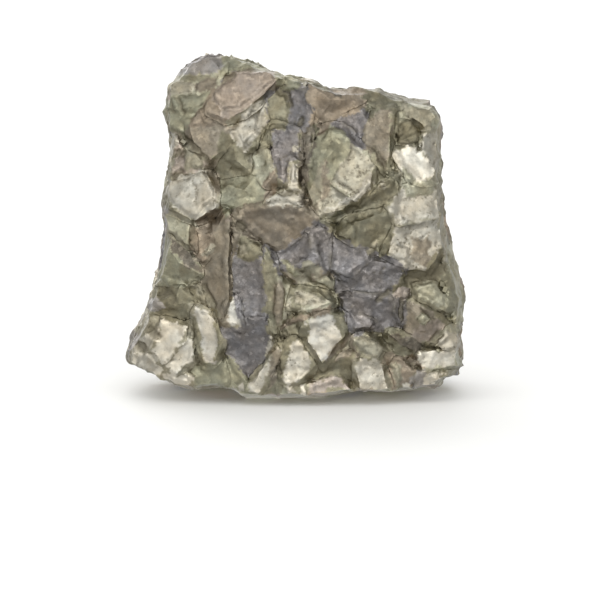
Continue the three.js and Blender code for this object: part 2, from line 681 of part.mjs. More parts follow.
export default group;
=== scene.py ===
# A raw lump of massive pyrite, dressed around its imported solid.
# Lengths in the dictionaries are millimetres unless a note says otherwise.
import math
import random
from functools import partial

import bmesh
import bpy
import numpy as np
from mathutils import Euler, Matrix, Vector, kdtree, noise
from mathutils.bvhtree import BVHTree
from mathutils.geometry import delaunay_2d_cdt


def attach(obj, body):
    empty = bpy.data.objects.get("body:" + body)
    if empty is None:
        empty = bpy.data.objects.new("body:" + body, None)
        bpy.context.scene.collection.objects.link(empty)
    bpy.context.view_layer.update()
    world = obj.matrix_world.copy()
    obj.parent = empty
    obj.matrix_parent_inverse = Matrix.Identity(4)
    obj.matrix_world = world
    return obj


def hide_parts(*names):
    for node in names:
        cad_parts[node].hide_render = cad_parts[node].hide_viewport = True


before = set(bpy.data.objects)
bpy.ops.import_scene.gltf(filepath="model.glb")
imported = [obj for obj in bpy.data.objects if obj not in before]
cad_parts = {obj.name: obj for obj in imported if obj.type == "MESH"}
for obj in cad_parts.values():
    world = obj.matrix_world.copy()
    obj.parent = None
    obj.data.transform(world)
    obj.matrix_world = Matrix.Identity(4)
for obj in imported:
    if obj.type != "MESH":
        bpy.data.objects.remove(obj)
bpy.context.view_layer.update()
scene = bpy.context.scene
mm = 0.001
nearZero = 1e-12  # keeps a division clear of zero


def linear(hexColour):
    channels = [int(hexColour[i : i + 2], 16) / 255 for i in (0, 2, 4)]
    return [c / 12.92 if c <= 0.04045 else ((c + 0.055) / 1.055) ** 2.4 for c in channels]


def addNode(tree, kind, *inputs, output=0, **settings):
    # One node with its settings. Inputs are values or sockets, in order or by name in a dictionary.
    node = tree.nodes.new(kind)
    for name, value in settings.items():
        setattr(node, name, value)
    given = {}
    for number, item in enumerate(inputs):
        given.update(item if isinstance(item, dict) else {number: item})
    for socket, value in given.items():
        if isinstance(value, bpy.types.NodeSocket):
            tree.links.new(value, node.inputs[socket])
        else:
            node.inputs[socket].default_value = value
    return node.outputs[output] if node.outputs else node


# How the front is seen: a place on it is (across, up) in the plane of the view
view = {
    "tilt": 8,  # degrees that the camera looks down
    "originAcross": 0.24,  # the model's X where across is 0
    "footDepth": -15.26,  # the model's Y where up is 0 on the floor
    "pixelsPerMm": 6,
    "imageWidth": 600,
    "middle": (0.5, 17.5),  # the place that the middle of the image shows
    "distance": 620,
}


def sightThrough(across, up):
    # A line of sight through a place on the front, starting well before the lump
    tilt = math.radians(view["tilt"])
    before = 50
    start = view["footDepth"] - before
    z = (up + before * math.sin(tilt)) / math.cos(tilt)
    return Vector((across + view["originAcross"], start, z)), Vector((0, math.cos(tilt), -math.sin(tilt)))


# The fine mesh of the lump
skin = {
    "frontStep": 0.34,  # between points where the front shows
    "backStep": 0.52,
    "frontUntil": -3,  # the model's Y up to which the fine step is used
    "rowShare": 0.866,  # rows of a triangular grid
    "loose": 0.12,  # how far a grid point may stray, in steps
    "clearance": 0.6,  # how far the grid keeps from an edge, in steps
    "flatWithin": 0.02,  # how far the corners of one flat face may lie off its plane
    "sameTurn": 0.999,  # cosine between the triangles of one flat face
    "sliver": 0.005,  # square millimetres under which a triangle's turn doesn't count
    "seed": 7,
}


def readSolid(node):
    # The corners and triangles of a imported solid, with equal corners joined
    mesh = bmesh.new()
    mesh.from_mesh(node.data)
    bmesh.ops.remove_doubles(mesh, verts=mesh.verts, dist=2e-7)
    bmesh.ops.triangulate(mesh, faces=mesh.faces)
    mesh.verts.index_update()
    corners = np.array([v.co for v in mesh.verts]) / mm
    triangles = np.array([[v.index for v in f.verts] for f in mesh.faces])
    mesh.free()
    return corners, triangles


def normalsOf(points, faces):
    # The unit normal, area and middle of each triangle
    a, b, c = (points[faces[:, k]] for k in range(3))
    cross = np.cross(b - a, c - a)
    length = np.linalg.norm(cross, axis=1)
    return cross / np.maximum(length, nearZero)[:, None], length / 2, (a + b + c) / 3


def flatFaces(corners, triangles):
    # Groups the triangles that touch and lie in one plane, starting from the largest
    normals, areas, _ = normalsOf(corners, triangles)
    sides = [[tuple(sorted((t[k], t[k - 1]))) for k in range(3)] for t in triangles.tolist()]
    neighbours = {}
    for index, edges in enumerate(sides):
        for edge in edges:
            neighbours.setdefault(edge, []).append(index)
    group = np.full(len(triangles), -1)
    planes = []
    for start in np.argsort(-areas):
        if group[start] >= 0:
            continue
        normal = normals[start]
        offset = normal @ corners[triangles[start][0]]
        group[start] = len(planes)
        waiting = [start]
        while waiting:
            for edge in sides[waiting.pop()]:
                for other in neighbours[edge]:
                    off = np.abs(corners[triangles[other]] @ normal - offset).max()
                    turned = normals[other] @ normal
                    alike = turned > skin["sameTurn"] or (areas[other] < skin["sliver"] and turned > 0)
                    if group[other] < 0 and off < skin["flatWithin"] and alike:
                        group[other] = len(planes)
                        waiting.append(other)
        planes.append((normal, offset))
    return group, planes


def pointNormalsOf(points, faces):
    # The unit normal at each point, from the faces around it by their areas
    normals, areas, _ = normalsOf(points, faces)
    sums = np.zeros((len(points), 3))
    for k in range(3):
        np.add.at(sums, faces[:, k], normals * areas[:, None])
    return sums / np.maximum(np.linalg.norm(sums, axis=1), nearZero)[:, None]


def insideOutline(places, starts, ends):
    # Even-odd test of many places against the edges of a flat outline
    x, y = places[:, 0:1], places[:, 1:2]
    x1, y1, x2, y2 = starts[:, 0], starts[:, 1], ends[:, 0], ends[:, 1]
    crosses = (y1 > y) != (y2 > y)
    with np.errstate(divide="ignore", invalid="ignore"):
        at = x1 + (y - y1) / (y2 - y1) * (x2 - x1)
    return (crosses & (x < at)).sum(axis=1) % 2 == 1


def bordersOf(faces):
    # The directed edges that no other face of the set shares
    directed = {(int(f[k]), int(f[(k + 1) % 3])) for f in faces for k in range(3)}
    return {edge for edge in directed if (edge[1], edge[0]) not in directed}


class FineMesh:
    # Small even triangles that keep every edge of the flat faces they stand for
    def __init__(self, corners):
        self.places = [Vector(p) for p in corners]
        self.onEdge = {}
        self.faces = []
        self.groups = []
        self.chance = random.Random(skin["seed"])

    def stepAt(self, place):
        return skin["frontStep"] if place.y < skin["frontUntil"] else skin["backStep"]

    def alongEdge(self, i, j):
        # The points along an edge, the same ones for both faces that share it
        low, high = min(i, j), max(i, j)
        if (low, high) not in self.onEdge:
            start, end = self.places[low], self.places[high]
            count = math.ceil((end - start).length / self.stepAt((start + end) / 2))
            self.onEdge[(low, high)] = list(range(len(self.places), len(self.places) + count - 1))
            self.places += [start.lerp(end, k / count) for k in range(1, count)]
        between = self.onEdge[(low, high)]
        return [i, *(between if i < j else between[::-1]), j]

    def innerPoints(self, outline, step):
        # A loose grid of points that keeps away from the outline
        tree = kdtree.KDTree(len(outline))
        for k, place in enumerate(outline):
            tree.insert((*place, 0), k)
        tree.balance()
        low, high = outline.min(axis=0), outline.max(axis=0)
        stray = skin["loose"] * step
        inner = []
        v = low[1] + step * self.chance.random()
        shift = 0
        while v < high[1]:
            u = low[0] + shift + stray * self.chance.random()
            while u < high[0]:
                place = (u + self.chance.uniform(-stray, stray), v + self.chance.uniform(-stray, stray))
                if tree.find((*place, 0))[2] > skin["clearance"] * step:
                    inner.append(place)
                u += step
            v += step * skin["rowShare"]
            shift = step / 2 - shift
        return np.array(inner).reshape(-1, 2)

    def inside(self, named, first, firstIsInside, segments):
        # The triangles within the border, found by walking from one whose side is known
        sides = [[frozenset((f[k], f[k - 1])) for k in range(3)] for f in named]
        beside = {}
        for index, edges in enumerate(sides):
            for edge in edges:
                beside.setdefault(edge, []).append(index)
        walls = {frozenset(pair) for pair in segments}
        state = {first: firstIsInside}
        waiting = [first]
        while waiting:
            index = waiting.pop()
            for edge in sides[index]:
                for other in beside[edge]:
                    if other not in state:
                        state[other] = state[index] != (edge in walls)
                        waiting.append(other)
        return [f for index, f in enumerate(named) if state.get(index)]

    def split(self, members, normal, offset, number):
        # Fills one flat face; says whether its border came out exactly as it was
        segments = []
        for i, j in sorted(bordersOf(members)):
            chain = self.alongEdge(i, j)
            segments += list(zip(chain[:-1], chain[1:]))
        ids = sorted({i for pair in segments for i in pair} | {int(i) for t in members for i in t})
        local = {i: k for k, i in enumerate(ids)}
        across = Vector(normal).orthogonal().normalized()
        up = Vector(normal).cross(across)
        outline = np.array([(self.places[i].dot(across), self.places[i].dot(up)) for i in ids])
        borders = [(local[i], local[j]) for i, j in segments]
        starts, ends = (outline[list(chosen)] for chosen in zip(*borders))
        middle = sum((self.places[i] for i in ids), Vector()) / len(ids)
        inner = self.innerPoints(outline, self.stepAt(middle))
        inner = inner[insideOutline(inner, starts, ends)] if len(inner) else inner
        flat = [Vector(p) for p in outline] + [Vector(p) for p in inner]
        found, _, faces, sources, _, _ = delaunay_2d_cdt(flat, borders, [], 0, 1e-7)
        if not faces or not all(sources):
            return False
        names = []
        added = []
        for place, source in zip(found, sources):
            if source[0] < len(ids):
                names.append(ids[source[0]])
            else:
                names.append(len(self.places) + len(added))
                added.append(across * place.x + up * place.y + Vector(normal) * offset)
        named = [[names[k] for k in f] for f in faces]
        spans = [(found[f[1]] - found[f[0]]).cross(found[f[2]] - found[f[0]]) for f in faces]
        largest = int(np.argmax(np.abs(spans)))
        centre = np.mean([found[k] for k in faces[largest]], axis=0).reshape(1, 2)
        new = self.inside(named, largest, insideOutline(centre, starts, ends)[0], segments)
        if spans[largest] < 0:
            new = [f[::-1] for f in new]
        if bordersOf(new) != set(segments):
            return False
        self.places += added
        self.faces += new
        self.groups += [number] * len(new)
        return True

    def zip(self, triangle, number):
        # A sliver's long side against its two short ones
        lengths = [(self.places[triangle[k - 2]] - self.places[triangle[k]]).length for k in range(3)]
        k = int(np.argmax(lengths))
        start, end, apex = (int(triangle[(k + n) % 3]) for n in range(3))
        long = self.alongEdge(start, end)
        short = self.alongEdge(start, apex) + self.alongEdge(apex, end)[1:]
        axis = self.places[end] - self.places[start]
        while len(long) > 1 or len(short) > 1:
            unfinished = [chain for chain in (long, short) if len(chain) > 1]
            chain = min(unfinished, key=lambda chain: self.places[chain[1]].dot(axis))
            corner = [long[0], chain[1], short[0]]
            if len(set(corner)) == 3:
                self.faces.append(corner)
                self.groups.append(number)
            chain.pop(0)


def refine(corners, triangles, group, planes):
    fine = FineMesh(corners)
    for number, (normal, offset) in enumerate(planes):
        members = triangles[np.flatnonzero(group == number)]
        if fine.split(members, normal, offset, number):
            continue
        ownNormals, _, middles = normalsOf(corners, members)
        for triangle, ownNormal, own in zip(members, ownNormals, middles):
            if not fine.split([triangle], ownNormal, ownNormal @ own, number):
                fine.zip(triangle, number)
    faces = np.array(fine.faces)

    # Two triangles back to back on the same three points enclose nothing, so both go
    _, same, count = np.unique(np.sort(faces, axis=1), axis=0, return_inverse=True, return_counts=True)
    kept = count[same.ravel()] == 1
    used, renumbered = np.unique(faces[kept], return_inverse=True)
    points = np.array([tuple(p) for p in fine.places])[used]
    return points, renumbered.reshape(-1, 3), np.array(fine.groups)[kept]


# Where the outline stands fuller than the solid: the model's X and Z, the reach, and how far it moves
swells = [(22.7, 47.2, 6.5, (0.9, 1.1))]


def swell(points):
    for x, z, reach, moved in swells:
        share = np.clip(1 - np.hypot(points[:, 0] - x, points[:, 2] - z) / reach, 0, 1)
        share *= share * (3 - 2 * share)
        points[:, 0] += share * moved[0]
        points[:, 2] += share * moved[1]


print("reading the solid")
corners, triangles = readSolid(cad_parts["pyrite"])
group, planes = flatFaces(corners, triangles)
points, faces, faceGroup = refine(corners, triangles, group, planes)
swell(points)
print("flat faces", len(planes), "fine mesh", len(points), "points", len(faces), "triangles")


# Finishes of a crystal face: colour, how freshly broken and mirror-like, how granular, and its surface:
# 0 is a face as grown, 1 is fractured, 2 is granular
finishes = {
    "white": {"colour": "C6C0B0", "fresh": 0.9, "grain": 0.1, "kind": 0},
    "mirror": {"colour": "ADA99D", "fresh": 1.0, "grain": 0.08, "kind": 0},
    "cream": {"colour": "A8A395", "fresh": 0.85, "grain": 0.3, "kind": 0},
    "pitted": {"colour": "9B9685", "fresh": 0.7, "grain": 0.5, "kind": 0},
    "lightOlive": {"colour": "9B9884", "fresh": 0.5, "grain": 0.35, "kind": 1},
    "pink": {"colour": "9A9187", "fresh": 0.35, "grain": 0.4, "kind": 1},
    "sand": {"colour": "90867A", "fresh": 0.45, "grain": 0.35, "kind": 1},
    "stone": {"colour": "8E8977", "fresh": 0.3, "grain": 0.5, "kind": 1},
    "ash": {"colour": "8E8A84", "fresh": 0.25, "grain": 0.6, "kind": 1},
    "green": {"colour": "8A8874", "fresh": 0.3, "grain": 0.4, "kind": 1},
    "taupe": {"colour": "81796A", "fresh": 0.25, "grain": 0.45, "kind": 1},
    "brown": {"colour": "867B6B", "fresh": 0.2, "grain": 0.4, "kind": 1},
    "umber": {"colour": "776F62", "fresh": 0.2, "grain": 0.4, "kind": 1},
    "olive": {"colour": "7E7A67", "fresh": 0.25, "grain": 0.45, "kind": 1},
    "darkOlive": {"colour": "75705D", "fresh": 0.15, "grain": 0.55, "kind": 1},
    "lavender": {"colour": "706D6B", "fresh": 0.1, "grain": 1.0, "kind": 2},
    "blueGrey": {"colour": "74706D", "fresh": 0.2, "grain": 0.75, "kind": 2},
    "dark": {"colour": "655F54", "fresh": 0.1, "grain": 0.8, "kind": 2},
}
finishNames = list(finishes)

# Where each finish shows on the front
frontFaces = {
    "white": [(-21.5, 11), (-19.2, 8.4), (-20.6, 4.4), (-26, 7.2), (22.4, 4.4), (24, 7.6), (19.3, 40)],
    "mirror": [(4.7, 11.8), (-9.9, 15.1), (-14.8, 12)],
    "cream": [
        (-17.5, 35), (-7.8, 46), (-0.5, 36.8), (0, 7.6), (12.4, 5.4), (-4.6, 6.2), (22.4, 44), (-25.2, 11),
        (23, 32.4), (23.2, 28.6), (-1.6, 34.2), (18, 30),
    ],
    "pitted": [(9.6, 38.5), (6.5, 34), (25.8, 10.6), (20, 33.6), (1.5, 17.4)],
    "lightOlive": [
        (-20.4, 30), (26, 24), (-21, 43), (-17, 53.4), (19.8, 49), (-5.6, 39.6), (-0.4, 2.6), (-2.2, 16.8),
    ],
    "pink": [(5, 3)],
    "sand": [(-9, 51.6), (-17.4, 41), (-16, 40), (21, 14.4)],
    "stone": [(-21.2, 39), (3.4, 35), (-3, 54.6), (2.2, 21.2), (8.4, 10)],
    "ash": [(-13, 57.2)],
    "green": [(-14.4, 5.4), (-8.6, 36.8), (4.4, 41.6), (-9.8, 4), (-19, 48), (-21, 23.4)],
    "taupe": [(-13, 23), (13.4, 45), (-14.8, 44.6)],
    "umber": [(-3, 30)],
    "brown": [(5.6, 51.6), (8, 50.4), (4.2, 49.2), (-14.4, 27.4), (17.2, 7), (-15, 49.5)],
    "olive": [
        (14, 50.6), (-4.2, 19), (-4, 2.6), (14, 38), (-10.6, 39.6), (17, 45.6), (19.4, 45), (12.2, 9.6),
        (22.6, 18.6), (13.2, 29.2),
    ],
    "darkOlive": [(0, 12.8), (-19.8, 17), (10.4, 32.6), (6, 6), (20.6, 21), (16, 51.4), (20.4, 50)],
    "lavender": [(-1, 50), (-8.4, 19), (-8.2, 9.6), (12.6, 21.4), (-0.2, 25.4), (4, 25), (8.6, 25.4)],
    "blueGrey": [(-1.8, 42), (8.8, 46.2), (12.2, 15.4), (10.6, 14.2)],
    "dark": [(1.2, 41.6), (17.4, 10.2), (-19.4, 24.4)],
}

# How often each finish comes up on the sides, top and back
elsewhere = {
    "white": 5, "mirror": 6, "cream": 7, "pitted": 8, "lightOlive": 12, "sand": 8, "stone": 9, "taupe": 11,
    "brown": 7, "ash": 6, "green": 7, "olive": 13, "darkOlive": 6, "lavender": 12, "blueGrey": 4, "dark": 3,
    "pink": 2,
}

# The walls beside a named face, most of them with a darker finish: partly their own finish, partly painted
# shade
sideOf = {
    "white": "stone", "mirror": "stone", "cream": "stone", "pitted": "lightOlive", "lightOlive": "stone",
    "sand": "taupe", "stone": "taupe", "pink": "taupe", "dark": "olive",
}
spread = {
    "frontReach": 6.5,  # how far a named place is felt
    "facing": -0.15,  # cosine to the sight from which a face belongs to the front
    "alike": 0.86,  # cosine from which a face takes its named neighbour's own finish
    "smallest": 3,  # square millimetres under which a face takes its largest neighbour's finish
    "shade": 0.09,  # how much one face is lighter or darker than the next
    "steepShade": 0.95,  # how much of it a wall beside a named face keeps: painted shade on the walls
    "wander": [(2.6, 0.55), (0.9, 0.5)],  # how borders between finishes stray: size and reach
    "seed": 21,
}


def chooseFinishes(solid, normals, areas, middles, neighbours):
    # A finish for every flat face: as named on the front, or like what is near, or by chance
    chance = random.Random(spread["seed"])
    hits = []
    finish = {}
    for name, places in frontFaces.items():
        for place in places:
            hit, _, triangle, _ = solid.ray_cast(*sightThrough(*place))
            finish.setdefault(int(group[triangle]), name)
            hits.append((hit, int(group[triangle]), name))
    tree = kdtree.KDTree(len(hits))
    for k, hit in enumerate(hits):
        tree.insert(hit[0], k)
    tree.balance()
    _, sight = sightThrough(0, 0)
    shade = np.ones(len(areas))
    for number in np.argsort(-areas):
        shade[number] = chance.uniform(1 - spread["shade"], 1 + spread["shade"])
        drawn = chance.choices(list(elsewhere), list(elsewhere.values()))[0]
        if number in finish:
            continue
        normal = Vector(normals[number])
        _, k, distance = tree.find(Vector(middles[number]))
        _, named, name = hits[k]
        largestBeside = max(neighbours[number], key=lambda other: areas[other], default=None)
        if distance < spread["frontReach"] and normal.dot(sight) < spread["facing"]:
            alike = normal.dot(Vector(normals[named])) > spread["alike"]
            # A steep wall beside a named face takes a darker finish and a painted shade
            finish[number] = name if alike else sideOf.get(name, name)
            shade[number] *= 1 if alike else spread["steepShade"]
        elif areas[number] < spread["smallest"] and largestBeside in finish:
            finish[number] = finish[largestBeside]
        else:
            finish[number] = drawn
    return np.array([finishNames.index(finish[number]) for number in range(len(areas))]), shade


# Ledges, chips and bands of the front that are finer than the solid's own faces:
# the finish, how far it stands out, and its corners in the view
ledges = [
    # The head
    ("ash", 0.3, [(-22.4, 53.4), (-19, 57.4), (-13, 58), (-12.9, 55.2), (-16.5, 54.6), (-19.8, 53.6)]),
    ("blueGrey", 0.3, [(-18.2, 56.2), (-17.2, 59.5), (-12, 60.5), (-11.6, 58.2), (-15, 57.5), (-16.4, 56.9)]),
    ("olive", 0.2, [(-21.4, 53.6), (-20.4, 55), (-16.4, 55), (-13.6, 54.2), (-16.8, 53.8), (-19.4, 53.9)]),
    ("taupe", 0.2, [(-16.8, 53.6), (-13.6, 54.4), (-13, 52.8), (-14.2, 52.1), (-16.8, 52.2)]),
    ("pitted", 0.3, [(-22.2, 51.8), (-21.4, 53.6), (-19.4, 54), (-16.8, 53.4), (-17, 52.2), (-19.4, 51.5)]),
    ("green", 0.1, [(-21.4, 46.4), (-22.8, 50.2), (-20.4, 51.2), (-14.2, 51.8), (-15.4, 50), (-18, 47)]),
    ("green", 0.4, [(-12.6, 57.6), (-11, 59), (-5, 57.6), (-5, 56), (-10, 55.2), (-12.6, 54.2)]),
    ("brown", 0.4, [(-18.2, 46.2), (-15.8, 49.6), (-14.2, 51.4), (-12.8, 50.4), (-12.4, 48.6), (-13.4, 46)]),
    (
        "sand", 0.55,
        [(-14, 51.2), (-10.2, 54.8), (-4, 55.4), (-3.4, 53.8), (-6, 51.6), (-9.6, 49), (-13, 48.8)],
    ),
    ("darkOlive", 0.1, [(-12.6, 45.8), (-11, 44.6), (-10.2, 42.8), (-9.4, 41.2), (-11, 39.6), (-13.2, 41.6)]),
    ("cream", 0.2, [(-23, 46.2), (-21, 45.6), (-19.4, 43.8), (-21, 41.4), (-22.6, 39)]),
    ("stone", 0.35, [(-19.2, 44), (-17.4, 42.6), (-15.2, 40.6), (-15.6, 39.2), (-18.4, 39.2), (-18.8, 41)]),
    ("darkOlive", 0.1, [(-22.2, 37.4), (-20.8, 38), (-21.6, 36.2), (-21.2, 34), (-19.6, 32.2), (-22, 33)]),
    (
        "cream", 0.4, [
            (-21.6, 36.4), (-20.6, 37.1), (-18.4, 37.9), (-17, 38.7), (-15.2, 38.9), (-14.3, 37),
            (-13.4, 34.2), (-15.4, 32.4), (-16.9, 31), (-19.2, 32.6), (-21, 34.2),
        ],
    ),
    # The top middle
    (
        "cream", 0.4, [
            (-5.4, 50.9), (-6.1, 48), (-6.6, 45), (-9, 42.4), (-9.7, 43.2), (-10.9, 45.2), (-10, 46.6),
            (-9.1, 48.2), (-7.4, 49.6),
        ],
    ),
    ("olive", 0.25, [(-4.8, 50.8), (-4.9, 45.8), (-2, 45.2), (-1.3, 48), (-1.6, 51.6), (-3, 52.6)]),
    ("olive", 0.1, [(-7.8, 42.4), (-5.4, 46.4), (-4.2, 46.6), (-4, 43.2), (-5.6, 42)]),
    ("green", 0.2, [(-3.2, 52.6), (-3.6, 54.6), (-2, 55.6), (0.6, 55), (0.2, 52.4), (-1.4, 52)]),
    ("dark", 0.5, [(0.4, 45.4), (2.5, 45.2), (2.4, 41), (1.7, 37), (1, 33.2), (0.3, 33.4), (0.3, 39)]),
    ("cream", 0.3, [(-0.7, 41.9), (-0.7, 43.1), (0.1, 42.9), (0.2, 42)]),
    ("cream", 0.3, [(0.7, 52.8), (0.9, 53.8), (1.7, 53.6), (1.7, 52.7)]),
    ("brown", 0.2, [(-5.6, 36.8), (-3.8, 38.8), (-3.2, 36), (-4, 34.4), (-5.2, 33.4)]),
    ("mirror", 0.4, [(-1.3, 36.8), (-1.1, 39.4), (-0.5, 40), (0, 39.2), (0, 36.8)]),
    ("green", 0.3, [(4, 44), (5.4, 46), (7.4, 45.6), (8.4, 43.8), (6.8, 44.5), (5.4, 44.6), (4.8, 43.1)]),
    (
        "cream", 0.35,
        [(12.1, 38.6), (12.6, 37), (11.4, 35.2), (9.4, 33.7), (3.9, 31.9), (7.4, 33.9), (9.8, 35.4)],
    ),
    # The right
    ("darkOlive", 0.45, [(16.6, 43.2), (16.6, 46.6), (18.4, 47.6), (20, 46.6), (20, 43.6), (18.4, 43)]),
    (
        "lightOlive", 0.4,
        [(17.6, 39.6), (18.8, 38.4), (20, 37.2), (22.8, 37.2), (22.6, 35), (18, 34.4), (17.2, 36.6)],
    ),
    ("pitted", 0.3, [(13.4, 37), (14.3, 37.1), (14.5, 35.8), (13.6, 35.7)]),
    ("olive", 0.4, [(4, 30.6), (7.8, 31.6), (9.8, 29.6), (10, 27.2), (8, 27.6), (5.2, 28.6)]),
    (
        "taupe", 0.1, [
            (18.6, 24.2), (19.2, 26), (19, 28), (20.6, 27.6), (21.6, 28.6), (22.2, 27), (21.6, 25.4),
            (22.6, 24.6), (21.2, 22.8), (20, 23.4),
        ],
    ),
    ("cream", 0.4, [(15, 25.6), (16.4, 27), (18.4, 26.4), (19, 24.6), (17.6, 24), (16, 24.2)]),
    ("darkOlive", 0.1, [(21, 22.2), (22.9, 25.6), (24.7, 23.2), (22.6, 22.2)]),
    ("stone", 0.3, [(11.3, 26), (13, 27.6), (13.6, 26.6), (12, 24.7)]),
    # The left
    ("pitted", 0.35, [(-15.7, 25), (-14.4, 27), (-13.6, 26.6), (-14.6, 24.5)]),
    ("pitted", 0.3, [(-17.2, 30), (-16.5, 30.5), (-16.1, 29.6), (-16.8, 29.1)]),
    ("green", 0.35, [(-23.2, 22.6), (-20.8, 21), (-18.2, 20.1), (-18.8, 19.3), (-21.4, 19.9), (-23.6, 21.4)]),
    ("ash", 0.3, [(-25.2, 17.6), (-23.2, 18), (-22, 16.4), (-23.4, 15.4), (-24.8, 15.6)]),
    ("stone", 0.25, [(-17.7, 20), (-16.6, 21.1), (-15.9, 20), (-16.9, 19.3)]),
    ("stone", 0.3, [(-17.9, 16.8), (-17.1, 16.8), (-16.9, 13.2), (-17.3, 11.8), (-17.8, 13)]),
    ("cream", 0.3, [(-26.8, 8.2), (-24.8, 8.8), (-23.2, 8.1), (-22.8, 6.4), (-24, 5.3), (-26.6, 6)]),
    (
        "darkOlive", 0.1,
        [(-17.3, 14.6), (-16.7, 15), (-16.1, 12.6), (-15.9, 9.4), (-15.3, 7.3), (-16.6, 6.6), (-17.1, 10)],
    ),
    ("olive", 0.1, [(-14, 13.9), (-13.4, 12), (-13.2, 10.4), (-13.8, 7.4), (-12, 7), (-12.4, 13)]),
    ("white", 0.3, [(-22.4, 4.9), (-21, 5.6), (-18.2, 4.2), (-18.2, 3.2), (-19.4, 2.6)]),
    ("taupe", 0.4, [(-10.9, 33), (-9.2, 33.2), (-8.6, 31.6), (-9.3, 28.6), (-9.8, 26.4), (-10.8, 24)]),
    ("olive", 0.3, [(-9.4, 28.4), (-7.6, 27.6), (-5.6, 26.6), (-6, 24.6), (-8, 23.8), (-9.8, 24.6)]),
    ("stone", 0.35, [(-10, 25.1), (-9.6, 26.7), (-8.4, 26.5), (-8.1, 25.2), (-9.2, 24.7)]),
    ("lavender", 0.1, [(-10.7, 18.8), (-10.3, 16.6), (-9.8, 14.6), (-9.2, 12.9), (-8, 12.4), (-8, 17.2)]),
    ("taupe", 0.15, [(-10.8, 18.8), (-11.4, 14.3), (-11, 13), (-13, 13), (-12.4, 17.4)]),
    # The middle
    ("lightOlive", 0.35, [(2.7, 21), (4.4, 21.5), (7, 20.3), (7.7, 19.2), (5.4, 19.1)]),
    ("olive", 0.1, [(-2, 19.6), (-0.5, 18.8), (0.2, 19.3), (1.6, 19), (4.6, 17.3), (6, 18.4), (3, 20.6)]),
    ("olive", 0.1, [(-1.4, 19.4), (-0.4, 19.1), (-0.4, 17.1), (0.4, 16.9), (2, 16.4), (-1, 15.6)]),
    ("lavender", 0.1, [(-9, 15.6), (-4.8, 15.6), (-4.8, 13.4), (-8.6, 13.4)]),
    ("lavender", 0.1, [(-12.6, 13.1), (-9, 13), (-8.4, 12), (-12.4, 11.8)]),
    ("lavender", 0.2, [(6.6, 22.2), (8.6, 21.6), (9, 19), (8.6, 17.4), (6.8, 17.8), (6.2, 20)]),
    ("green", 0.35, [(-2.7, 23.8), (-2, 24.2), (0.5, 21.9), (0, 21.1)]),
    ("taupe", 0.25, [(-3.8, 20), (-2.8, 20.7), (-1.9, 18), (-2.3, 15.6), (-3.4, 13.4), (-4, 16)]),
    ("brown", 0.2, [(-3.4, 13.3), (2.6, 15.9), (5.6, 16.8), (5.4, 15.4), (1.7, 14.3), (-2.6, 12.6)]),
    (
        "olive", 0.4,
        [(-3.2, 12.4), (0.4, 13.7), (1.9, 13.6), (2.4, 12.6), (1.8, 11.2), (-0.2, 10.9), (-2.6, 8.8)],
    ),
    ("olive", 0.2, [(5.4, 15.4), (7.6, 15.6), (8.4, 12), (6.9, 9.8), (7.2, 12.1), (6.2, 13.9)]),
    ("darkOlive", 0.1, [(-2.6, 9.4), (-1.1, 9.7), (-1.9, 6.6), (-2.6, 4.2), (-3.6, 4.6), (-3.3, 7)]),
    ("olive", 0.1, [(1.1, 10.7), (2.3, 7), (1.4, 5.4), (-0.2, 3.8), (1, 3.3), (3.4, 6.2), (2, 10)]),
    ("cream", 0.4, [(-4.8, 11.7), (-4.1, 11.5), (-3.7, 9), (-4.8, 8.6)]),
    ("taupe", 0.15, [(-4.2, 8.8), (-3.2, 9.6), (-2.4, 8.6), (-3.6, 3.6), (-5, 2.6), (-4.6, 5.4)]),
    ("white", 0.4, [(-1.7, 2), (-1.6, 3.3), (-0.6, 3.3), (-0.4, 2)]),
    ("white", 0.4, [(0.3, 3.2), (1, 3.2), (1.9, 1.9), (0.5, 1.8)]),
    ("cream", 0.4, [(-9.9, 3.5), (-9, 3.7), (-8.7, 2.6), (-9.5, 2.4)]),
    # The lower right
    ("lavender", 0.3, [(16, 19), (18.2, 17.2), (18.4, 14), (17.8, 12.6), (16.2, 13.4), (15.6, 16)]),
    ("pink", 0.3, [(15.6, 18.2), (16.6, 19.6), (18.7, 19.7), (18.9, 18), (17.4, 17.4)]),
    ("darkOlive", 0.1, [(18.4, 17.4), (21.8, 17.6), (25.6, 13.8), (24.6, 13.2), (22.6, 15.6), (20, 16.8)]),
    (
        "lightOlive", 0.35,
        [(20.1, 19.9), (22, 20.8), (23.2, 20), (24.6, 18.4), (24.6, 16.4), (23.4, 16.3), (20.4, 18.5)],
    ),
    ("cream", 0.4, [(23.4, 10.8), (24.8, 12.5), (26.6, 11.7), (27.7, 10.2), (27, 9.2), (23.8, 9.1)]),
    ("lightOlive", 0.3, [(19.7, 14.4), (21, 15.4), (22.7, 14), (21, 12.9)]),
    ("stone", 0.45, [(9.5, 11.1), (11, 11.7), (14.7, 9.7), (14.3, 8.2), (12.6, 7.9), (9.9, 9.6)]),
    ("ash", 0.3, [(19.8, 6), (21.2, 5.6), (21, 3), (19.2, 2.8), (18.8, 4)]),
    ("white", 0.35, [(21.9, 5.3), (23.3, 5.2), (23.7, 4.1), (22.1, 3.8)]),
    ("stone", 0.35, [(15.5, 7.1), (16.6, 7.1), (17.7, 4.6), (16.4, 3.1)]),
]
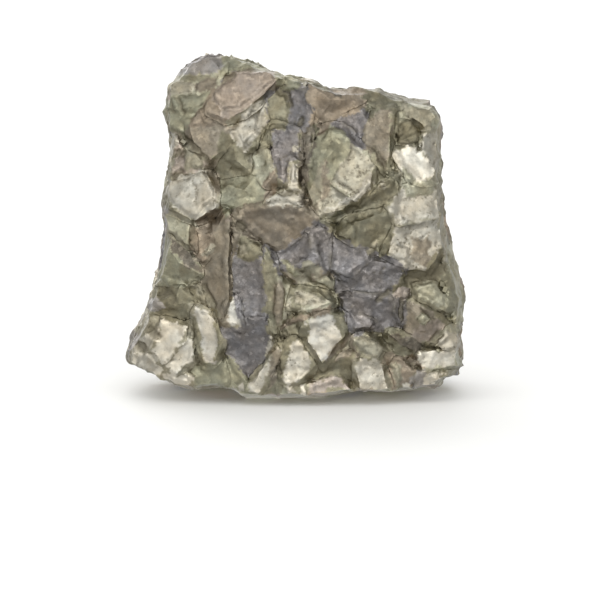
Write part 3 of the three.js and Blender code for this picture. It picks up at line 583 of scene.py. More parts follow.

# Open cracks of the front, sunk and darkened with painted shade: how wide, and where they run; a spot is a
# crack that is very short
cracks = [
    (0.55, [(-21.6, 46.6), (-18, 43.6), (-14.8, 40.4)]),
    (0.7, [(-21.5, 51.2), (-20.6, 48.8)]),
    (0.5, [(-19.8, 50.9), (-18.6, 48.6)]),
    (0.7, [(-20.6, 41.5), (-18.9, 41.9)]),
    (0.5, [(-20.6, 37.6), (-19, 38.9)]),
    (0.4, [(-17.2, 30.6), (-17.4, 27), (-17, 24.6)]),
    (0.8, [(-22.6, 18.5), (-21.2, 18.7), (-20.6, 17.4)]),
    (0.8, [(-24.8, 12.7), (-23.2, 11.5)]),
    (0.9, [(-26.8, 10), (-25.6, 9.5)]),
    (0.7, [(-15.5, 19.8), (-13.8, 16.9)]),
    (0.9, [(-9.4, 29.9), (-9.2, 29.5)]),
    (0.9, [(-2.7, 12.6), (-2.2, 11.7)]),
    (0.6, [(-3.2, 6.3), (-3, 5.5)]),
    (0.7, [(-3.1, 52.2), (-2.5, 51.8)]),
    (0.6, [(-1.5, 51.8), (-1.3, 49.8)]),
    (0.6, [(0.8, 47.3), (0.7, 46.6)]),
    (0.4, [(-3, 35.2), (0.2, 35.1)]),
    (0.5, [(12.6, 42.4), (15, 38.9)]),
    (0.6, [(20.3, 46), (20.2, 42.8)]),
    (0.6, [(13.5, 17.5), (15.3, 19)]),
    (0.7, [(17.2, 17.3), (17.4, 14.7)]),
    (1.4, [(18.8, 21), (22.2, 21.5), (24.2, 23)]),
    (0.9, [(15.4, 9.7), (14.2, 7.7)]),
    (0.7, [(18.4, 7.3), (20.1, 6.3)]),
    (0.7, [(22.6, 10.3), (23.6, 12)]),
]
ledgeForm = {
    "wall": 0.5,  # from a ledge's border to its full height
    "lineWidth": 0.4,  # of the painted shadow line at its foot
    "lineDepth": 0.16,
    "rimWidth": 0.6,  # of its worn rim, painted lighter as a highlight
    "rimWearAndHighlight": 0.7,
    "filled": 0.4,  # how much of the hollows and the worn, highlit edges is left under it
    "shade": 0.06,
    "wander": [(1.6, 0.3), (0.6, 0.2)],  # how its border strays: size and reach
    "facing": -0.1,  # cosine to the sight from which a point can be seen
    "fade": 0.35,  # cosine over which a ledge rises from there, so that none stands on the outline
    "clear": 0.1,  # how far off the surface a line of sight starts
    "seed": 4,
}


# Hollows that the solid has deeper than they are: their outlines in the view
hollows = [
    [(3.2, 31), (5.8, 31.4), (6.6, 29), (5.6, 27.6), (4.4, 28.8), (3, 30)],
    [(6.2, 22.4), (7.4, 22.2), (9, 21.6), (9.6, 19.4), (9.2, 17.6), (7.6, 16.8), (6.4, 17.4), (5.8, 20)],
    [(-11.2, 31.9), (-10, 31.3), (-8.8, 30.2), (-5.4, 26.6), (-4.6, 25), (-9.2, 24), (-10.6, 24)],
    [(-8.4, 42.2), (-5.6, 46.4), (-4.2, 47.2), (-3.8, 43.4), (-5.6, 41.8)],
    [(-12.2, 32.4), (-10.5, 32.4), (-10.2, 25), (-10.2, 18), (-12.2, 18)],
    [(16.2, 43), (16.2, 47), (18.6, 48.4), (20.8, 47), (21, 43.2), (18.6, 42.6)],
    [(-9.4, 15.8), (-4.6, 15.6), (-4.6, 14), (-9.4, 14.2)],
    [(15.9, 32.4), (15.8, 28.4), (20, 27.6), (24.2, 28.4), (24.2, 32.6), (20, 32.2)],
    [(17, 38.6), (19.8, 37.9), (23.4, 37.8), (23.4, 36), (18, 36.2)],
    [(-4.4, 12), (-2.2, 13), (-1, 12.2), (-1.4, 11), (-3.2, 10.2), (-4.4, 10.8)],
    [(-4, 7), (-2.6, 9.4), (-2.4, 6), (-2.8, 4.4), (-4, 5.4)],
    [(-1.8, 16), (-0.4, 16.3), (-0.4, 15), (-1.8, 14.4)],
    [(15.2, 20.2), (19.4, 20.4), (19.2, 17.6), (18.2, 13.4), (17, 12.6), (16, 15)],
    [(13.6, 40), (15.6, 41.4), (16.4, 41), (18.4, 38.4), (19, 37.2), (17.4, 36.2), (13.4, 36.4)],
    [(-20.8, 27.2), (-18, 28.2), (-16.4, 26), (-16, 24), (-18, 24.4), (-20.6, 25.8)],
    [(-18.2, 14.6), (-16.8, 14.6), (-16.2, 11), (-16, 7), (-17.2, 6.8), (-17.6, 10), (-18.4, 12)],
    [(-19, 20.6), (-17, 21.6), (-15.6, 20.2), (-13.4, 16.8), (-14.2, 15.8), (-17, 17)],
    [(11, 50.4), (12.6, 50.2), (13, 48.8), (11.6, 48.4)],
    [(2.6, 48.6), (4.4, 47.6), (4.4, 45.4), (2.6, 44.2)],
]
hollowForm = {
    "rim": 0.5,  # how far outside its outline a hollow takes its level from
    "nearest": 0.1,  # rim points closer than this count as being this far
    "falloff": 3,  # the power by which a rim point counts for less with distance
    "left": 0.15,  # how deep a filled hollow still lies
}


noise.seed_set(ledgeForm["seed"])  # without it the noise differs from run to run


def wandered(place, steps):
    # A place moved by noise, so that borders laid out straight come out ragged
    return place + sum((noise.noise_vector(place / size) * reach for size, reach in steps), Vector())


def seenFromFront(solid, points, pointNormals):
    # The points that the view shows, where it shows them, and how far each faces it
    _, sight = sightThrough(0, 0)
    tilt = math.radians(view["tilt"])
    facing = np.flatnonzero(pointNormals @ np.array(sight) < ledgeForm["facing"])
    starts = points - np.array(sight) * ledgeForm["clear"]
    seen = np.array([k for k in facing if solid.ray_cast(Vector(starts[k]), -sight)[0] is None])
    moved = np.array([wandered(Vector(points[k]), ledgeForm["wander"]) for k in seen])
    up = moved[:, 2] * math.cos(tilt) + (moved[:, 1] - view["footDepth"]) * math.sin(tilt)
    turned = ledgeForm["facing"] - pointNormals[seen] @ np.array(sight)
    squarely = np.clip(turned / ledgeForm["fade"], 0, 1)
    return seen, np.stack([moved[:, 0] - view["originAcross"], up], axis=1), squarely


def away(places, starts, ends):
    # How far each place is from the nearest of several straight stretches
    least = np.full(len(places), np.inf)
    for start, along in zip(starts, ends - starts):
        share = np.clip((places - start) @ along / (along @ along), 0, 1)
        least = np.minimum(least, np.linalg.norm(places - start - share[:, None] * along, axis=1))
    return least


def fillHollows(seen, places):
    # Brings the floor of each hollow forward to a skin stretched over its rim
    sight = np.array(sightThrough(0, 0)[1])
    depth = points[seen] @ sight
    for outline in hollows:
        starts = np.array(outline, dtype=float)
        ends = np.roll(starts, -1, axis=0)
        inside = insideOutline(places, starts, ends)
        rim = ~inside & (away(places, starts, ends) < hollowForm["rim"])
        gaps = np.linalg.norm(places[inside][:, None] - places[rim][None], axis=2)
        weights = np.maximum(gaps, hollowForm["nearest"]) ** -hollowForm["falloff"]
        level = (weights * depth[rim]).sum(axis=1) / weights.sum(axis=1)
        forward = np.maximum(0, depth[inside] - level - hollowForm["left"])
        points[seen[inside]] -= forward[:, None] * sight


def layLedges(seen, places, squarely, finish, shade, marks):
    # Gives the points of each ledge its finish, height and worn, highlit rim, and marks the painted shade of
    # the cracks and of a line at each ledge's foot
    chance = random.Random(ledgeForm["seed"])
    for name, rise, outline in ledges:
        starts = np.array(outline, dtype=float)
        ends = np.roll(starts, -1, axis=0)
        inside = insideOutline(places, starts, ends)
        distance = away(places, starts, ends)
        within = seen[inside]
        finish[within] = finishNames.index(name)
        shade[within] = chance.uniform(1 - ledgeForm["shade"], 1 + ledgeForm["shade"])
        wall = np.minimum(distance[inside] / ledgeForm["wall"], 1)
        marks["ledge"][within] = rise * wall * wall * (3 - 2 * wall) * squarely[inside]
        for label in ("recess", "edge"):
            marks[label][within] *= ledgeForm["filled"]
        # A worn rim, painted lighter as a highlight
        rim = ledgeForm["rimWearAndHighlight"] * np.maximum(0, 1 - distance[inside] / ledgeForm["rimWidth"])
        marks["edge"][within] = np.maximum(marks["edge"][within], rim)
        # A painted shadow line at the ledge's foot, which also sinks a little
        line = ledgeForm["lineDepth"] * np.maximum(0, 1 - distance[~inside] / ledgeForm["lineWidth"])
        marks["crack"][seen[~inside]] = np.maximum(marks["crack"][seen[~inside]], line * squarely[~inside])
    for width, line in cracks:
        line = np.array(line, dtype=float)
        depth = np.clip(2 - 2 * away(places, line[:-1], line[1:]) / width, 0, 1)
        marks["crack"][seen] = np.maximum(marks["crack"][seen], depth * squarely)


def pairsOfFaces(faces):
    # Every edge of the mesh with its two faces
    edges = np.sort(np.concatenate([faces[:, [0, 1]], faces[:, [1, 2]], faces[:, [2, 0]]]), axis=1)
    owners = np.tile(np.arange(len(faces)), 3)
    order = np.lexsort((edges[:, 1], edges[:, 0]))
    edges, owners = edges[order], owners[order]
    first = np.flatnonzero((edges[:-1] == edges[1:]).all(axis=1))
    return edges[first], owners[first], owners[first + 1]


# Bends of the surface, in degrees, and how far worn, highlit edges and filled valleys reach
creaseForm = {
    "least": 18, "full": 55, "sharp": 15, "edgeWidth": 0.8, "valleyWidth": 1.3,
    "softenings": 8,  # how often the points of a joint move towards the middle of their neighbours
    "softness": 0.5,
}


def creases(points, edges, one, other, normals, middles):
    # How sharply the mesh bends at each point, outward and inward, and along each edge
    turn = np.degrees(np.arccos(np.clip((normals[one] * normals[other]).sum(axis=1), -1, 1)))
    inward = ((middles[other] - middles[one]) * normals[one]).sum(axis=1) > 0
    outwardAt, inwardAt = np.zeros(len(points)), np.zeros(len(points))
    for k in range(2):
        np.maximum.at(outwardAt, edges[~inward, k], turn[~inward])
        np.maximum.at(inwardAt, edges[inward, k], turn[inward])
    return outwardAt, inwardAt, turn


def nearness(points, strength, width):
    # 1 on the creases, falling off to 0 over the given width
    places = np.flatnonzero(strength > creaseForm["least"])
    tree = kdtree.KDTree(len(places))
    for k in places:
        tree.insert(points[k], int(k))
    tree.balance()
    value = np.zeros(len(points))
    for k, point in enumerate(points):
        _, index, distance = tree.find(point)
        value[k] = max(0, 1 - distance / width) * min(1, strength[index] / creaseForm["full"])
    return value


def softenJoints(points, edges, valley):
    # Rounds the joints, as finer ore fills them
    count = np.maximum(np.bincount(edges.ravel(), minlength=len(points)), 1)
    for _ in range(creaseForm["softenings"]):
        sums = np.zeros_like(points)
        for k in range(2):
            np.add.at(sums, edges[:, k], points[edges[:, 1 - k]])
        points += creaseForm["softness"] * valley[:, None] * (sums / count[:, None] - points)


# How hollows are felt: straight lines go out from each point, evenly turned by the golden angle
recessForm = {"reach": 5, "rays": 14, "turn": 2.4, "clear": 0.06}


def recesses(solid, points, pointNormals):
    # How much of the sky each point misses because of the lump around it
    reach = recessForm["reach"]
    rays = []
    for k in range(recessForm["rays"]):
        height = math.sqrt((k + 0.5) / recessForm["rays"])
        level = math.sqrt(1 - height * height)
        turn = recessForm["turn"] * k
        rays.append((level * math.cos(turn), level * math.sin(turn), height))
    value = np.zeros(len(points))
    for index, (point, normal) in enumerate(zip(points, pointNormals)):
        up = Vector(normal)
        across = up.orthogonal().normalized()
        beside = up.cross(across)
        start = Vector(point) + up * recessForm["clear"]
        for x, y, z in rays:
            distance = solid.ray_cast(start, across * x + beside * y + up * z, reach)[3]
            if distance is not None:
                value[index] += 1 - distance / reach
    return value / len(rays)


def setAttribute(mesh, name, kind, domain, values):
    attribute = mesh.attributes.new(name, kind, domain)
    field = {"FLOAT_COLOR": "color", "FLOAT_VECTOR": "vector"}.get(kind, "value")
    attribute.data.foreach_set(field, np.ascontiguousarray(values).ravel())


def buildLump():
    solid = BVHTree.FromPolygons([Vector(p) for p in corners], triangles.tolist())
    seen, places, squarely = seenFromFront(solid, points, pointNormalsOf(points, faces))
    fillHollows(seen, places)
    normals, areas, middles = normalsOf(points, faces)
    groupArea = np.bincount(faceGroup, areas, len(planes))
    weighted = areas[:, None] * middles
    groupMiddle = np.stack([np.bincount(faceGroup, weighted[:, k], len(planes)) for k in range(3)], axis=1)
    groupMiddle /= np.maximum(groupArea, nearZero)[:, None]
    groupNormal = np.array([plane[0] for plane in planes])
    edges, one, other = pairsOfFaces(faces)
    neighbours = [set() for _ in planes]
    for a, b in zip(faceGroup[one].tolist(), faceGroup[other].tolist()):
        if a != b:
            neighbours[a].add(b)
            neighbours[b].add(a)

    # Finishes, face by face, then the ledges
    groupFinish, groupShade = chooseFinishes(solid, groupNormal, groupArea, groupMiddle, neighbours)
    strayed = [solid.find_nearest(wandered(Vector(point), spread["wander"]))[2] for point in points]
    finish = groupFinish[group[strayed]]
    shade = groupShade[group[strayed]]
    outwardAt, inwardAt, turn = creases(points, edges, one, other, normals, middles)
    edge = nearness(points, outwardAt, creaseForm["edgeWidth"])
    valley = nearness(points, inwardAt, creaseForm["valleyWidth"])
    softenJoints(points, edges, valley)
    normals, _, middles = normalsOf(points, faces)
    turn = creases(points, edges, one, other, normals, middles)[2]
    softened = BVHTree.FromPolygons(points.tolist(), faces.tolist())
    marks = {
        "edge": edge,
        "valley": valley,
        "recess": recesses(softened, points, pointNormalsOf(points, faces)),
        "ledge": np.zeros(len(points)),
        "crack": np.zeros(len(points)),
    }
    layLedges(seen, places, squarely, finish, shade, marks)
    colours = np.array([[*linear(look["colour"]), 1] for look in finishes.values()])
    tone = colours[finish]
    tone[:, :3] *= shade[:, None]
    marks["fresh"] = np.array([look["fresh"] for look in finishes.values()])[finish]
    marks["grain"] = np.array([look["grain"] for look in finishes.values()])[finish]

    # The way the striations of each flat face run
    chance = random.Random(spread["seed"])
    streak = np.zeros((len(planes), 3))
    for number, normal in enumerate(groupNormal):
        along = Vector(normal).orthogonal().normalized()
        angle = chance.uniform(0, math.pi)
        streak[number] = along * math.cos(angle) + Vector(normal).cross(along) * math.sin(angle)

    mesh = bpy.data.meshes.new("lump")
    mesh.from_pydata((points * mm).tolist(), [], faces.tolist())
    mesh.polygons.foreach_set("use_smooth", np.ones(len(faces), dtype=bool))
    for name, values in marks.items():
        setAttribute(mesh, name, "FLOAT", "POINT", values)
    setAttribute(mesh, "tone", "FLOAT_COLOR", "POINT", tone)
    setAttribute(mesh, "streak", "FLOAT_VECTOR", "FACE", streak[faceGroup])
    kinds = np.array([look["kind"] for look in finishes.values()], dtype=np.int32)
    setAttribute(mesh, "kind", "INT", "FACE", kinds[finish[faces[:, 0]]])
    sharp = {tuple(edge) for edge in edges[turn > creaseForm["sharp"]].tolist()}
    pairs = np.zeros(len(mesh.edges) * 2, dtype=np.int32)
    mesh.edges.foreach_get("vertices", pairs)
    pairs = np.sort(pairs.reshape(-1, 2), axis=1).tolist()
    setAttribute(mesh, "sharp_edge", "BOOLEAN", "EDGE", np.array([tuple(p) in sharp for p in pairs]))
    return mesh


print("finishing the faces")
lumpMesh = buildLump()


# The broken and grown surface: sizes of its forms, and how deep they go
relief = {
    "Wave size": 5.0,
    "Wave depth": 0.3,
    "Block size": 2.6,
    "Block depth": 0.2,
    "Chunk size": 1.25,
    "Chunk depth": 0.14,
    "Chip size": 1.0,
    "Chip depth": 0.2,
    "Pit size": 1.0,
    "Pit depth": 0.2,
    "Crack depth": 0.5,
    "Fill depth": 0.55,
    "Wander size": 2.6,
    "Wander reach": 0.65,
    "Jag size": 0.9,
    "Jag reach": 0.1,
}
fullFrom = 2.5  # height above the floor from which the relief has its full depth


def scaledPlace(tree, place, size, shift=(0, 0, 0)):
    # The place counted in steps of a size, moved so that patterns don't line up
    moved = addNode(tree, "ShaderNodeVectorMath", place, shift, operation="ADD")
    scale = addNode(tree, "ShaderNodeMath", 1.0, size, operation="DIVIDE")
    return addNode(tree, "ShaderNodeVectorMath", moved, {3: scale}, operation="SCALE")


def leaningCells(tree, place):
    # Blocky cells that each lean their own way, so that a surface breaks into small flat facets
    add = partial(addNode, tree)
    turn = {"Vector": place, "Rotation": (0.6, 0.4, 0.9)}
    turned = add("ShaderNodeVectorRotate", turn, rotation_type="EULER_XYZ")
    cells = add("ShaderNodeTexVoronoi", {"Vector": turned, "Scale": 1.0}, distance="CHEBYCHEV").node.outputs
    offset = add("ShaderNodeVectorMath", turned, cells["Position"], operation="SUBTRACT")
    lean = add("ShaderNodeVectorMath", cells["Color"], (0.5, 0.5, 0.5), operation="SUBTRACT")
    return add("ShaderNodeVectorMath", offset, lean, operation="DOT_PRODUCT", output="Value"), cells["Color"]


def newTree(name, inputs, materialNames):
    # An empty tree with named numbers in millimetres, and sockets for materials
    tree = bpy.data.node_groups.new(name, "GeometryNodeTree")
    tree.interface.new_socket("Geometry", in_out="INPUT", socket_type="NodeSocketGeometry")
    for label, value in inputs.items():
        tree.interface.new_socket(label, in_out="INPUT", socket_type="NodeSocketFloat").default_value = value
    for label in materialNames:
        tree.interface.new_socket(label, in_out="INPUT", socket_type="NodeSocketMaterial")
    tree.interface.new_socket("Geometry", in_out="OUTPUT", socket_type="NodeSocketGeometry")
    return tree, addNode(tree, "NodeGroupInput").node.outputs, addNode(tree, "NodeGroupOutput")


def reliefTree(materialNames):
    tree, given, result = newTree("crystalRelief", relief, materialNames)
    add = partial(addNode, tree)
    size = {label: add("ShaderNodeMath", given[label], mm, operation="MULTIPLY") for label in relief}
    place = add("GeometryNodeInputPosition")
    normal = add("GeometryNodeInputNormal")
    fresh, grain, edge, valley, ledge, crack = (
        add("GeometryNodeInputNamedAttribute", label, data_type="FLOAT")
        for label in ("fresh", "grain", "edge", "valley", "ledge", "crack")
    )
    dull = add("ShaderNodeMath", 1.0, fresh, operation="SUBTRACT")
    freshGrain = add("ShaderNodeMath", grain, fresh, operation="MULTIPLY")

    # Ledges, and gentle waves on broken faces
    height = add("ShaderNodeMath", ledge, mm, operation="MULTIPLY")
    wavePlace = scaledPlace(tree, place, size["Wave size"])
    wave = add("ShaderNodeTexNoise", {"Vector": wavePlace, "Scale": 1.0, "Detail": 1.0})
    wave = add("ShaderNodeMath", wave, 0.5, operation="SUBTRACT")
    wave = add("ShaderNodeMath", wave, size["Wave depth"], operation="MULTIPLY")
    amount = add("ShaderNodeMath", dull, 1.6, 0.15, operation="MULTIPLY_ADD")
    height = add("ShaderNodeMath", wave, amount, height, operation="MULTIPLY_ADD")

    # Broken blocks, and finer leaning chunks where the ore is granular
    blocks = leaningCells(tree, scaledPlace(tree, place, size["Block size"]))[0]
    blocks = add("ShaderNodeMath", blocks, size["Block depth"], operation="MULTIPLY")
    amount = add("ShaderNodeMath", dull, 1.1, 0.1, operation="MULTIPLY_ADD")
    height = add("ShaderNodeMath", blocks, amount, height, operation="MULTIPLY_ADD")
    chunks = leaningCells(tree, scaledPlace(tree, place, size["Chunk size"], (0.3, 0.1, 0.2)))[0]
    chunks = add("ShaderNodeMath", chunks, size["Chunk depth"], operation="MULTIPLY")
    amount = add("ShaderNodeMath", freshGrain, -0.7, grain, operation="MULTIPLY_ADD")
    amount = add("ShaderNodeMath", amount, 1.5, 0.05, operation="MULTIPLY_ADD")
    height = add("ShaderNodeMath", chunks, amount, height, operation="MULTIPLY_ADD")

    # Chipped edges
    chipPlace = scaledPlace(tree, place, size["Chip size"], (0.5, 0.2, 0.3))
    chip = add("ShaderNodeTexNoise", {"Vector": chipPlace, "Scale": 1.0, "Detail": 2.0})
    chip = add("ShaderNodeMath", chip, 0.45, operation="SUBTRACT", use_clamp=True)
    chip = add("ShaderNodeMath", chip, edge, operation="MULTIPLY")
    depth = add("ShaderNodeMath", size["Chip depth"], -3.0, operation="MULTIPLY")
    height = add("ShaderNodeMath", chip, depth, height, operation="MULTIPLY_ADD")

    # Joints between crystals, filled by finer ore, and open cracks
    height = add("ShaderNodeMath", valley, size["Fill depth"], height, operation="MULTIPLY_ADD")
    depth = add("ShaderNodeMath", size["Crack depth"], -1.0, operation="MULTIPLY")
    height = add("ShaderNodeMath", crack, depth, height, operation="MULTIPLY_ADD")

    # Pits, thick in some patches
    pitPlace = scaledPlace(tree, place, size["Pit size"], (0.1, 0.6, 0.4))
    pitCell = add("ShaderNodeTexVoronoi", {"Vector": pitPlace, "Scale": 1.0}, output="Distance")
    patch = add("ShaderNodeTexNoise", {"Vector": pitPlace, "Scale": 0.3, "Detail": 1.0})
    reach = add("ShaderNodeMath", patch, 1.3, -0.6, operation="MULTIPLY_ADD")
    reach = add("ShaderNodeMath", freshGrain, 0.9, reach, operation="MULTIPLY_ADD")
    pit = add("ShaderNodeMath", reach, pitCell, operation="SUBTRACT", use_clamp=True)
    pit = add("ShaderNodeMath", pit, 4.0, operation="MULTIPLY", use_clamp=True)
    depth = add("ShaderNodeMath", size["Pit depth"], -1.0, operation="MULTIPLY")
    height = add("ShaderNodeMath", pit, depth, height, operation="MULTIPLY_ADD")

    # The foot stays flat: nothing moves at the floor, and all of it from the full height up
    lift = add("ShaderNodeSeparateXYZ", place, output=2)
    lift = add("ShaderNodeMath", lift, 1 / (fullFrom * mm), operation="MULTIPLY", use_clamp=True)
    height = add("ShaderNodeMath", height, lift, operation="MULTIPLY")
    offset = add("ShaderNodeVectorMath", normal, {3: height}, operation="SCALE")

    # Edges that wander sideways, so that none is ruled
    for label in ("Wander", "Jag"):
        wanderPlace = scaledPlace(tree, place, size[label + " size"], (0.7, 0.3, 0.5))
        wander = {"Vector": wanderPlace, "Scale": 1.0, "Detail": 1.0}
        wander = add("ShaderNodeTexNoise", wander, output="Color")
        wander = add("ShaderNodeVectorMath", wander, (0.5, 0.5, 0.5), operation="SUBTRACT")
        reach = add("ShaderNodeMath", size[label + " reach"], lift, operation="MULTIPLY")
        wander = add("ShaderNodeVectorMath", wander, {3: reach}, operation="SCALE")
        offset = add("ShaderNodeVectorMath", offset, wander, operation="ADD")
    geometry = add("GeometryNodeSetPosition", {"Geometry": given["Geometry"], "Offset": offset})
    parts = add("ShaderNodeSeparateXYZ", add("GeometryNodeInputPosition")).node.outputs
    aboveFloor = add("ShaderNodeMath", parts[2], 0.0, operation="MAXIMUM")
    clamped = add("ShaderNodeCombineXYZ", parts[0], parts[1], aboveFloor)
    geometry = add("GeometryNodeSetPosition", {"Geometry": geometry, "Position": clamped})
    geometry = add(
        "GeometryNodeStoreNamedAttribute",
        {"Geometry": geometry, "Name": "pit", "Value": pit},
        data_type="FLOAT",
        domain="POINT",
    )
    kind = add("GeometryNodeInputNamedAttribute", "kind", data_type="INT")
    for number, label in enumerate(materialNames):
        chosen = add("FunctionNodeCompare", {2: kind, 3: number}, data_type="INT", operation="EQUAL")
        geometry = add("GeometryNodeSetMaterial", geometry, chosen, given[label])
    tree.links.new(geometry, result.inputs[0])
    return tree


def runTree(piece, tree, materials):
    # Gives the piece the tree's result as its plain mesh
    modifier = piece.modifiers.new(tree.name, "NODES")
    modifier.node_group = tree
    for item in tree.interface.items_tree:
        if item.in_out == "INPUT" and item.name in materials:
            modifier[item.identifier] = materials[item.name]
    evaluated = piece.evaluated_get(bpy.context.evaluated_depsgraph_get())
    mesh = bpy.data.meshes.new_from_object(evaluated)
    piece.modifiers.remove(modifier)
    piece.data = mesh


# Surfaces: how metallic, how rough when fresh and when dull, and how deep their small relief is.
# The real grains are 0.1 to 0.3 mm, drawn coarser so that they show.
surfaces = {
    # Pyrite faces as grown: pale brassy metal with fine striations and small dark pits
    "pyrite, crystal faces as grown": {
        "metallic": 1.0, "roughFresh": 0.4, "roughDull": 0.42, "grainSize": 0.8, "grainBump": 0.06,
        "streakBump": 0.012, "fineBump": 0.012, "speckle": 0.4, "glint": 0.15, "cloud": 0.09, "mottle": 0.1,
        "lightness": 0.9,
    },
    # Massive pyrite as fractured: duller olive brass, uneven, glinting only here and there
    "pyrite, fractured": {
        "metallic": 0.95, "roughFresh": 0.34, "roughDull": 0.46, "grainSize": 0.75, "grainBump": 0.14,
        "streakBump": 0.008, "fineBump": 0.02, "speckle": 0.35, "glint": 0.3, "cloud": 0.15, "mottle": 0.12,
        "lightness": 0.95,
    },
    # Granular pyrite with a grey tarnish: many tiny faces that lean every way, so it sparkles
    "pyrite, granular and tarnished grey": {
        "metallic": 0.9, "roughFresh": 0.34, "roughDull": 0.42, "grainSize": 0.55, "grainBump": 0.16,
        "streakBump": 0.0, "fineBump": 0.02, "speckle": 0.4, "glint": 0.4, "cloud": 0.14, "mottle": 0.12,
        "lightness": 0.95,
    },
}
# The colour of the painted shade in joints, hollows and cracks
creviceShadeColour = "736D5C"
pitColour = "5E584A"


def makeSurface(name, form):
    material = bpy.data.materials.new(name)
    material.use_nodes = True
    tree = material.node_tree
    tree.nodes.clear()
    add = partial(addNode, tree)
    place = add("ShaderNodeTexCoord", output="Object")
    fresh, grain, edge, valley, recess, pit, crack = (
        add("ShaderNodeAttribute", attribute_name=label, output="Fac")
        for label in ("fresh", "grain", "edge", "valley", "recess", "pit", "crack")
    )
    tone = add("ShaderNodeAttribute", attribute_name="tone", output="Color")
    streak = add("ShaderNodeAttribute", attribute_name="streak", output="Vector")
    cloud = {"Vector": place, "Roughness": 0.62}
    noiseOf = {
        size: add("ShaderNodeTexNoise", {**cloud, "Scale": 1 / (size * mm), "Detail": detail})
        for size, detail in ((4, 3.0), (3, 4.0), (2.5, 2.0), (2.2, 2.0), (0.8, 5.0), (0.6, 3.0))
    }

    # Cloudy light and dark, from patches down to grains, and a few grains painted lighter as glints
    light = add("ShaderNodeMapRange", noiseOf[3], 0.32, 0.68, 1 - form["cloud"], 1 + form["cloud"])
    height, cellColour = leaningCells(tree, scaledPlace(tree, place, form["grainSize"] * mm))
    cellLight = add("ShaderNodeSeparateColor", cellColour)
    glint = add("ShaderNodeMapRange", cellLight, 0.9, 1.0, 1.0, 1 + form["glint"])
    cellLight = add("ShaderNodeMath", cellLight, 0.5, operation="SUBTRACT")
    cellRange = add("ShaderNodeMath", grain, 0.34, 0.04, operation="MULTIPLY_ADD")
    cellLight = add("ShaderNodeMath", cellLight, cellRange, 1.0, operation="MULTIPLY_ADD")
    fineLight = add("ShaderNodeMapRange", noiseOf[0.6], 0.3, 0.7, 1 - form["mottle"], 1 + form["mottle"])
    # Outward edges are lighter: wear, and a painted highlight
    edgeWearAndHighlight = add("ShaderNodeMath", edge, 2.0, operation="POWER")
    edgeWearAndHighlight = add("ShaderNodeMath", edgeWearAndHighlight, 0.2, form["lightness"], operation="MULTIPLY_ADD")
    for factor in (glint, cellLight, fineLight, edgeWearAndHighlight):
        light = add("ShaderNodeMath", light, factor, operation="MULTIPLY")

    # Small dark specks in patches, each a hole between grains
    speckPlace = scaledPlace(tree, place, 0.7 * mm, (0.3, 0.3, 0.1))
    shift = add("ShaderNodeTexNoise", {"Vector": speckPlace, "Scale": 1.3, "Detail": 3.0}, output="Color")
    speckPlace = add("ShaderNodeVectorMath", shift, (1.6, 1.6, 1.6), speckPlace, operation="MULTIPLY_ADD")
    speckCell = add("ShaderNodeTexVoronoi", {"Vector": speckPlace, "Scale": 1.0}, output="Distance")
    reach = add("ShaderNodeMath", noiseOf[2.2], 1.5, -0.72, operation="MULTIPLY_ADD")
    freshGrain = add("ShaderNodeMath", grain, fresh, operation="MULTIPLY")
    reach = add("ShaderNodeMath", freshGrain, 1.0, reach, operation="MULTIPLY_ADD")
    speck = add("ShaderNodeMath", reach, speckCell, operation="SUBTRACT", use_clamp=True)
    speck = add("ShaderNodeMath", speck, 5 * form["speckle"], operation="MULTIPLY", use_clamp=True)
    pitDark = add("ShaderNodeMath", pit, 0.6, operation="MULTIPLY")
    dark = add("ShaderNodeMath", speck, pitDark, operation="MAXIMUM")

    # Painted shade: joints go dark here and there, hollows a little where they miss the sky, and cracks all
    # along. The same mask makes them rougher
    hollow = add("ShaderNodeMapRange", recess, 0.3, 0.8, 0.0, 0.25)
    jointShadePatch = add("ShaderNodeMapRange", noiseOf[2.5], 0.4, 0.62, 0.0, 0.42)
    jointShade = add("ShaderNodeMath", valley, 2.0, operation="POWER")
    jointShade = add("ShaderNodeMath", jointShade, jointShadePatch, operation="MULTIPLY")
    creviceShadeAndDullness = add("ShaderNodeMath", hollow, jointShade, operation="MAXIMUM")
    crackShade = add("ShaderNodeMath", crack, 0.65, operation="MULTIPLY")
    creviceShadeAndDullness = add("ShaderNodeMath", creviceShadeAndDullness, crackShade, operation="MAXIMUM")

    warm = add("ShaderNodeMapRange", noiseOf[4], 0.35, 0.65, 0.0, 1.0)
    hues = {0: warm, 6: (1.04, 1.0, 0.95, 1), 7: (0.97, 1.0, 1.05, 1)}
    hue = add("ShaderNodeMix", hues, data_type="RGBA", output=2)
    base = add("ShaderNodeVectorMath", tone, hue, operation="MULTIPLY")
    base = add("ShaderNodeVectorMath", base, {3: light}, operation="SCALE")
    for share, colour in ((dark, pitColour), (creviceShadeAndDullness, creviceShadeColour)):
        base = add("ShaderNodeMix", {0: share, 6: base, 7: (*linear(colour), 1)}, data_type="RGBA", output=2)

    # Small relief: leaning grains, striations, fine unevenness and the specks
    along = add("ShaderNodeVectorMath", place, streak, operation="DOT_PRODUCT", output="Value")
    stripes = {"W": along, "Scale": 1 / (0.5 * mm), "Detail": 3.0}
    striation = add("ShaderNodeTexNoise", stripes, noise_dimensions="1D")
    bumps = add("ShaderNodeMath", grain, 0.9, 0.1, operation="MULTIPLY_ADD")
    bumps = add("ShaderNodeMath", bumps, height, operation="MULTIPLY")
    bumps = add("ShaderNodeMath", bumps, form["grainBump"], operation="MULTIPLY")
    bumps = add("ShaderNodeMath", striation, form["streakBump"], bumps, operation="MULTIPLY_ADD")
    bumps = add("ShaderNodeMath", noiseOf[0.8], form["fineBump"], bumps, operation="MULTIPLY_ADD")
    bumps = add("ShaderNodeMath", dark, -0.04, bumps, operation="MULTIPLY_ADD")
    bump = add("ShaderNodeBump", {"Height": bumps, "Strength": 1.0, "Distance": mm})

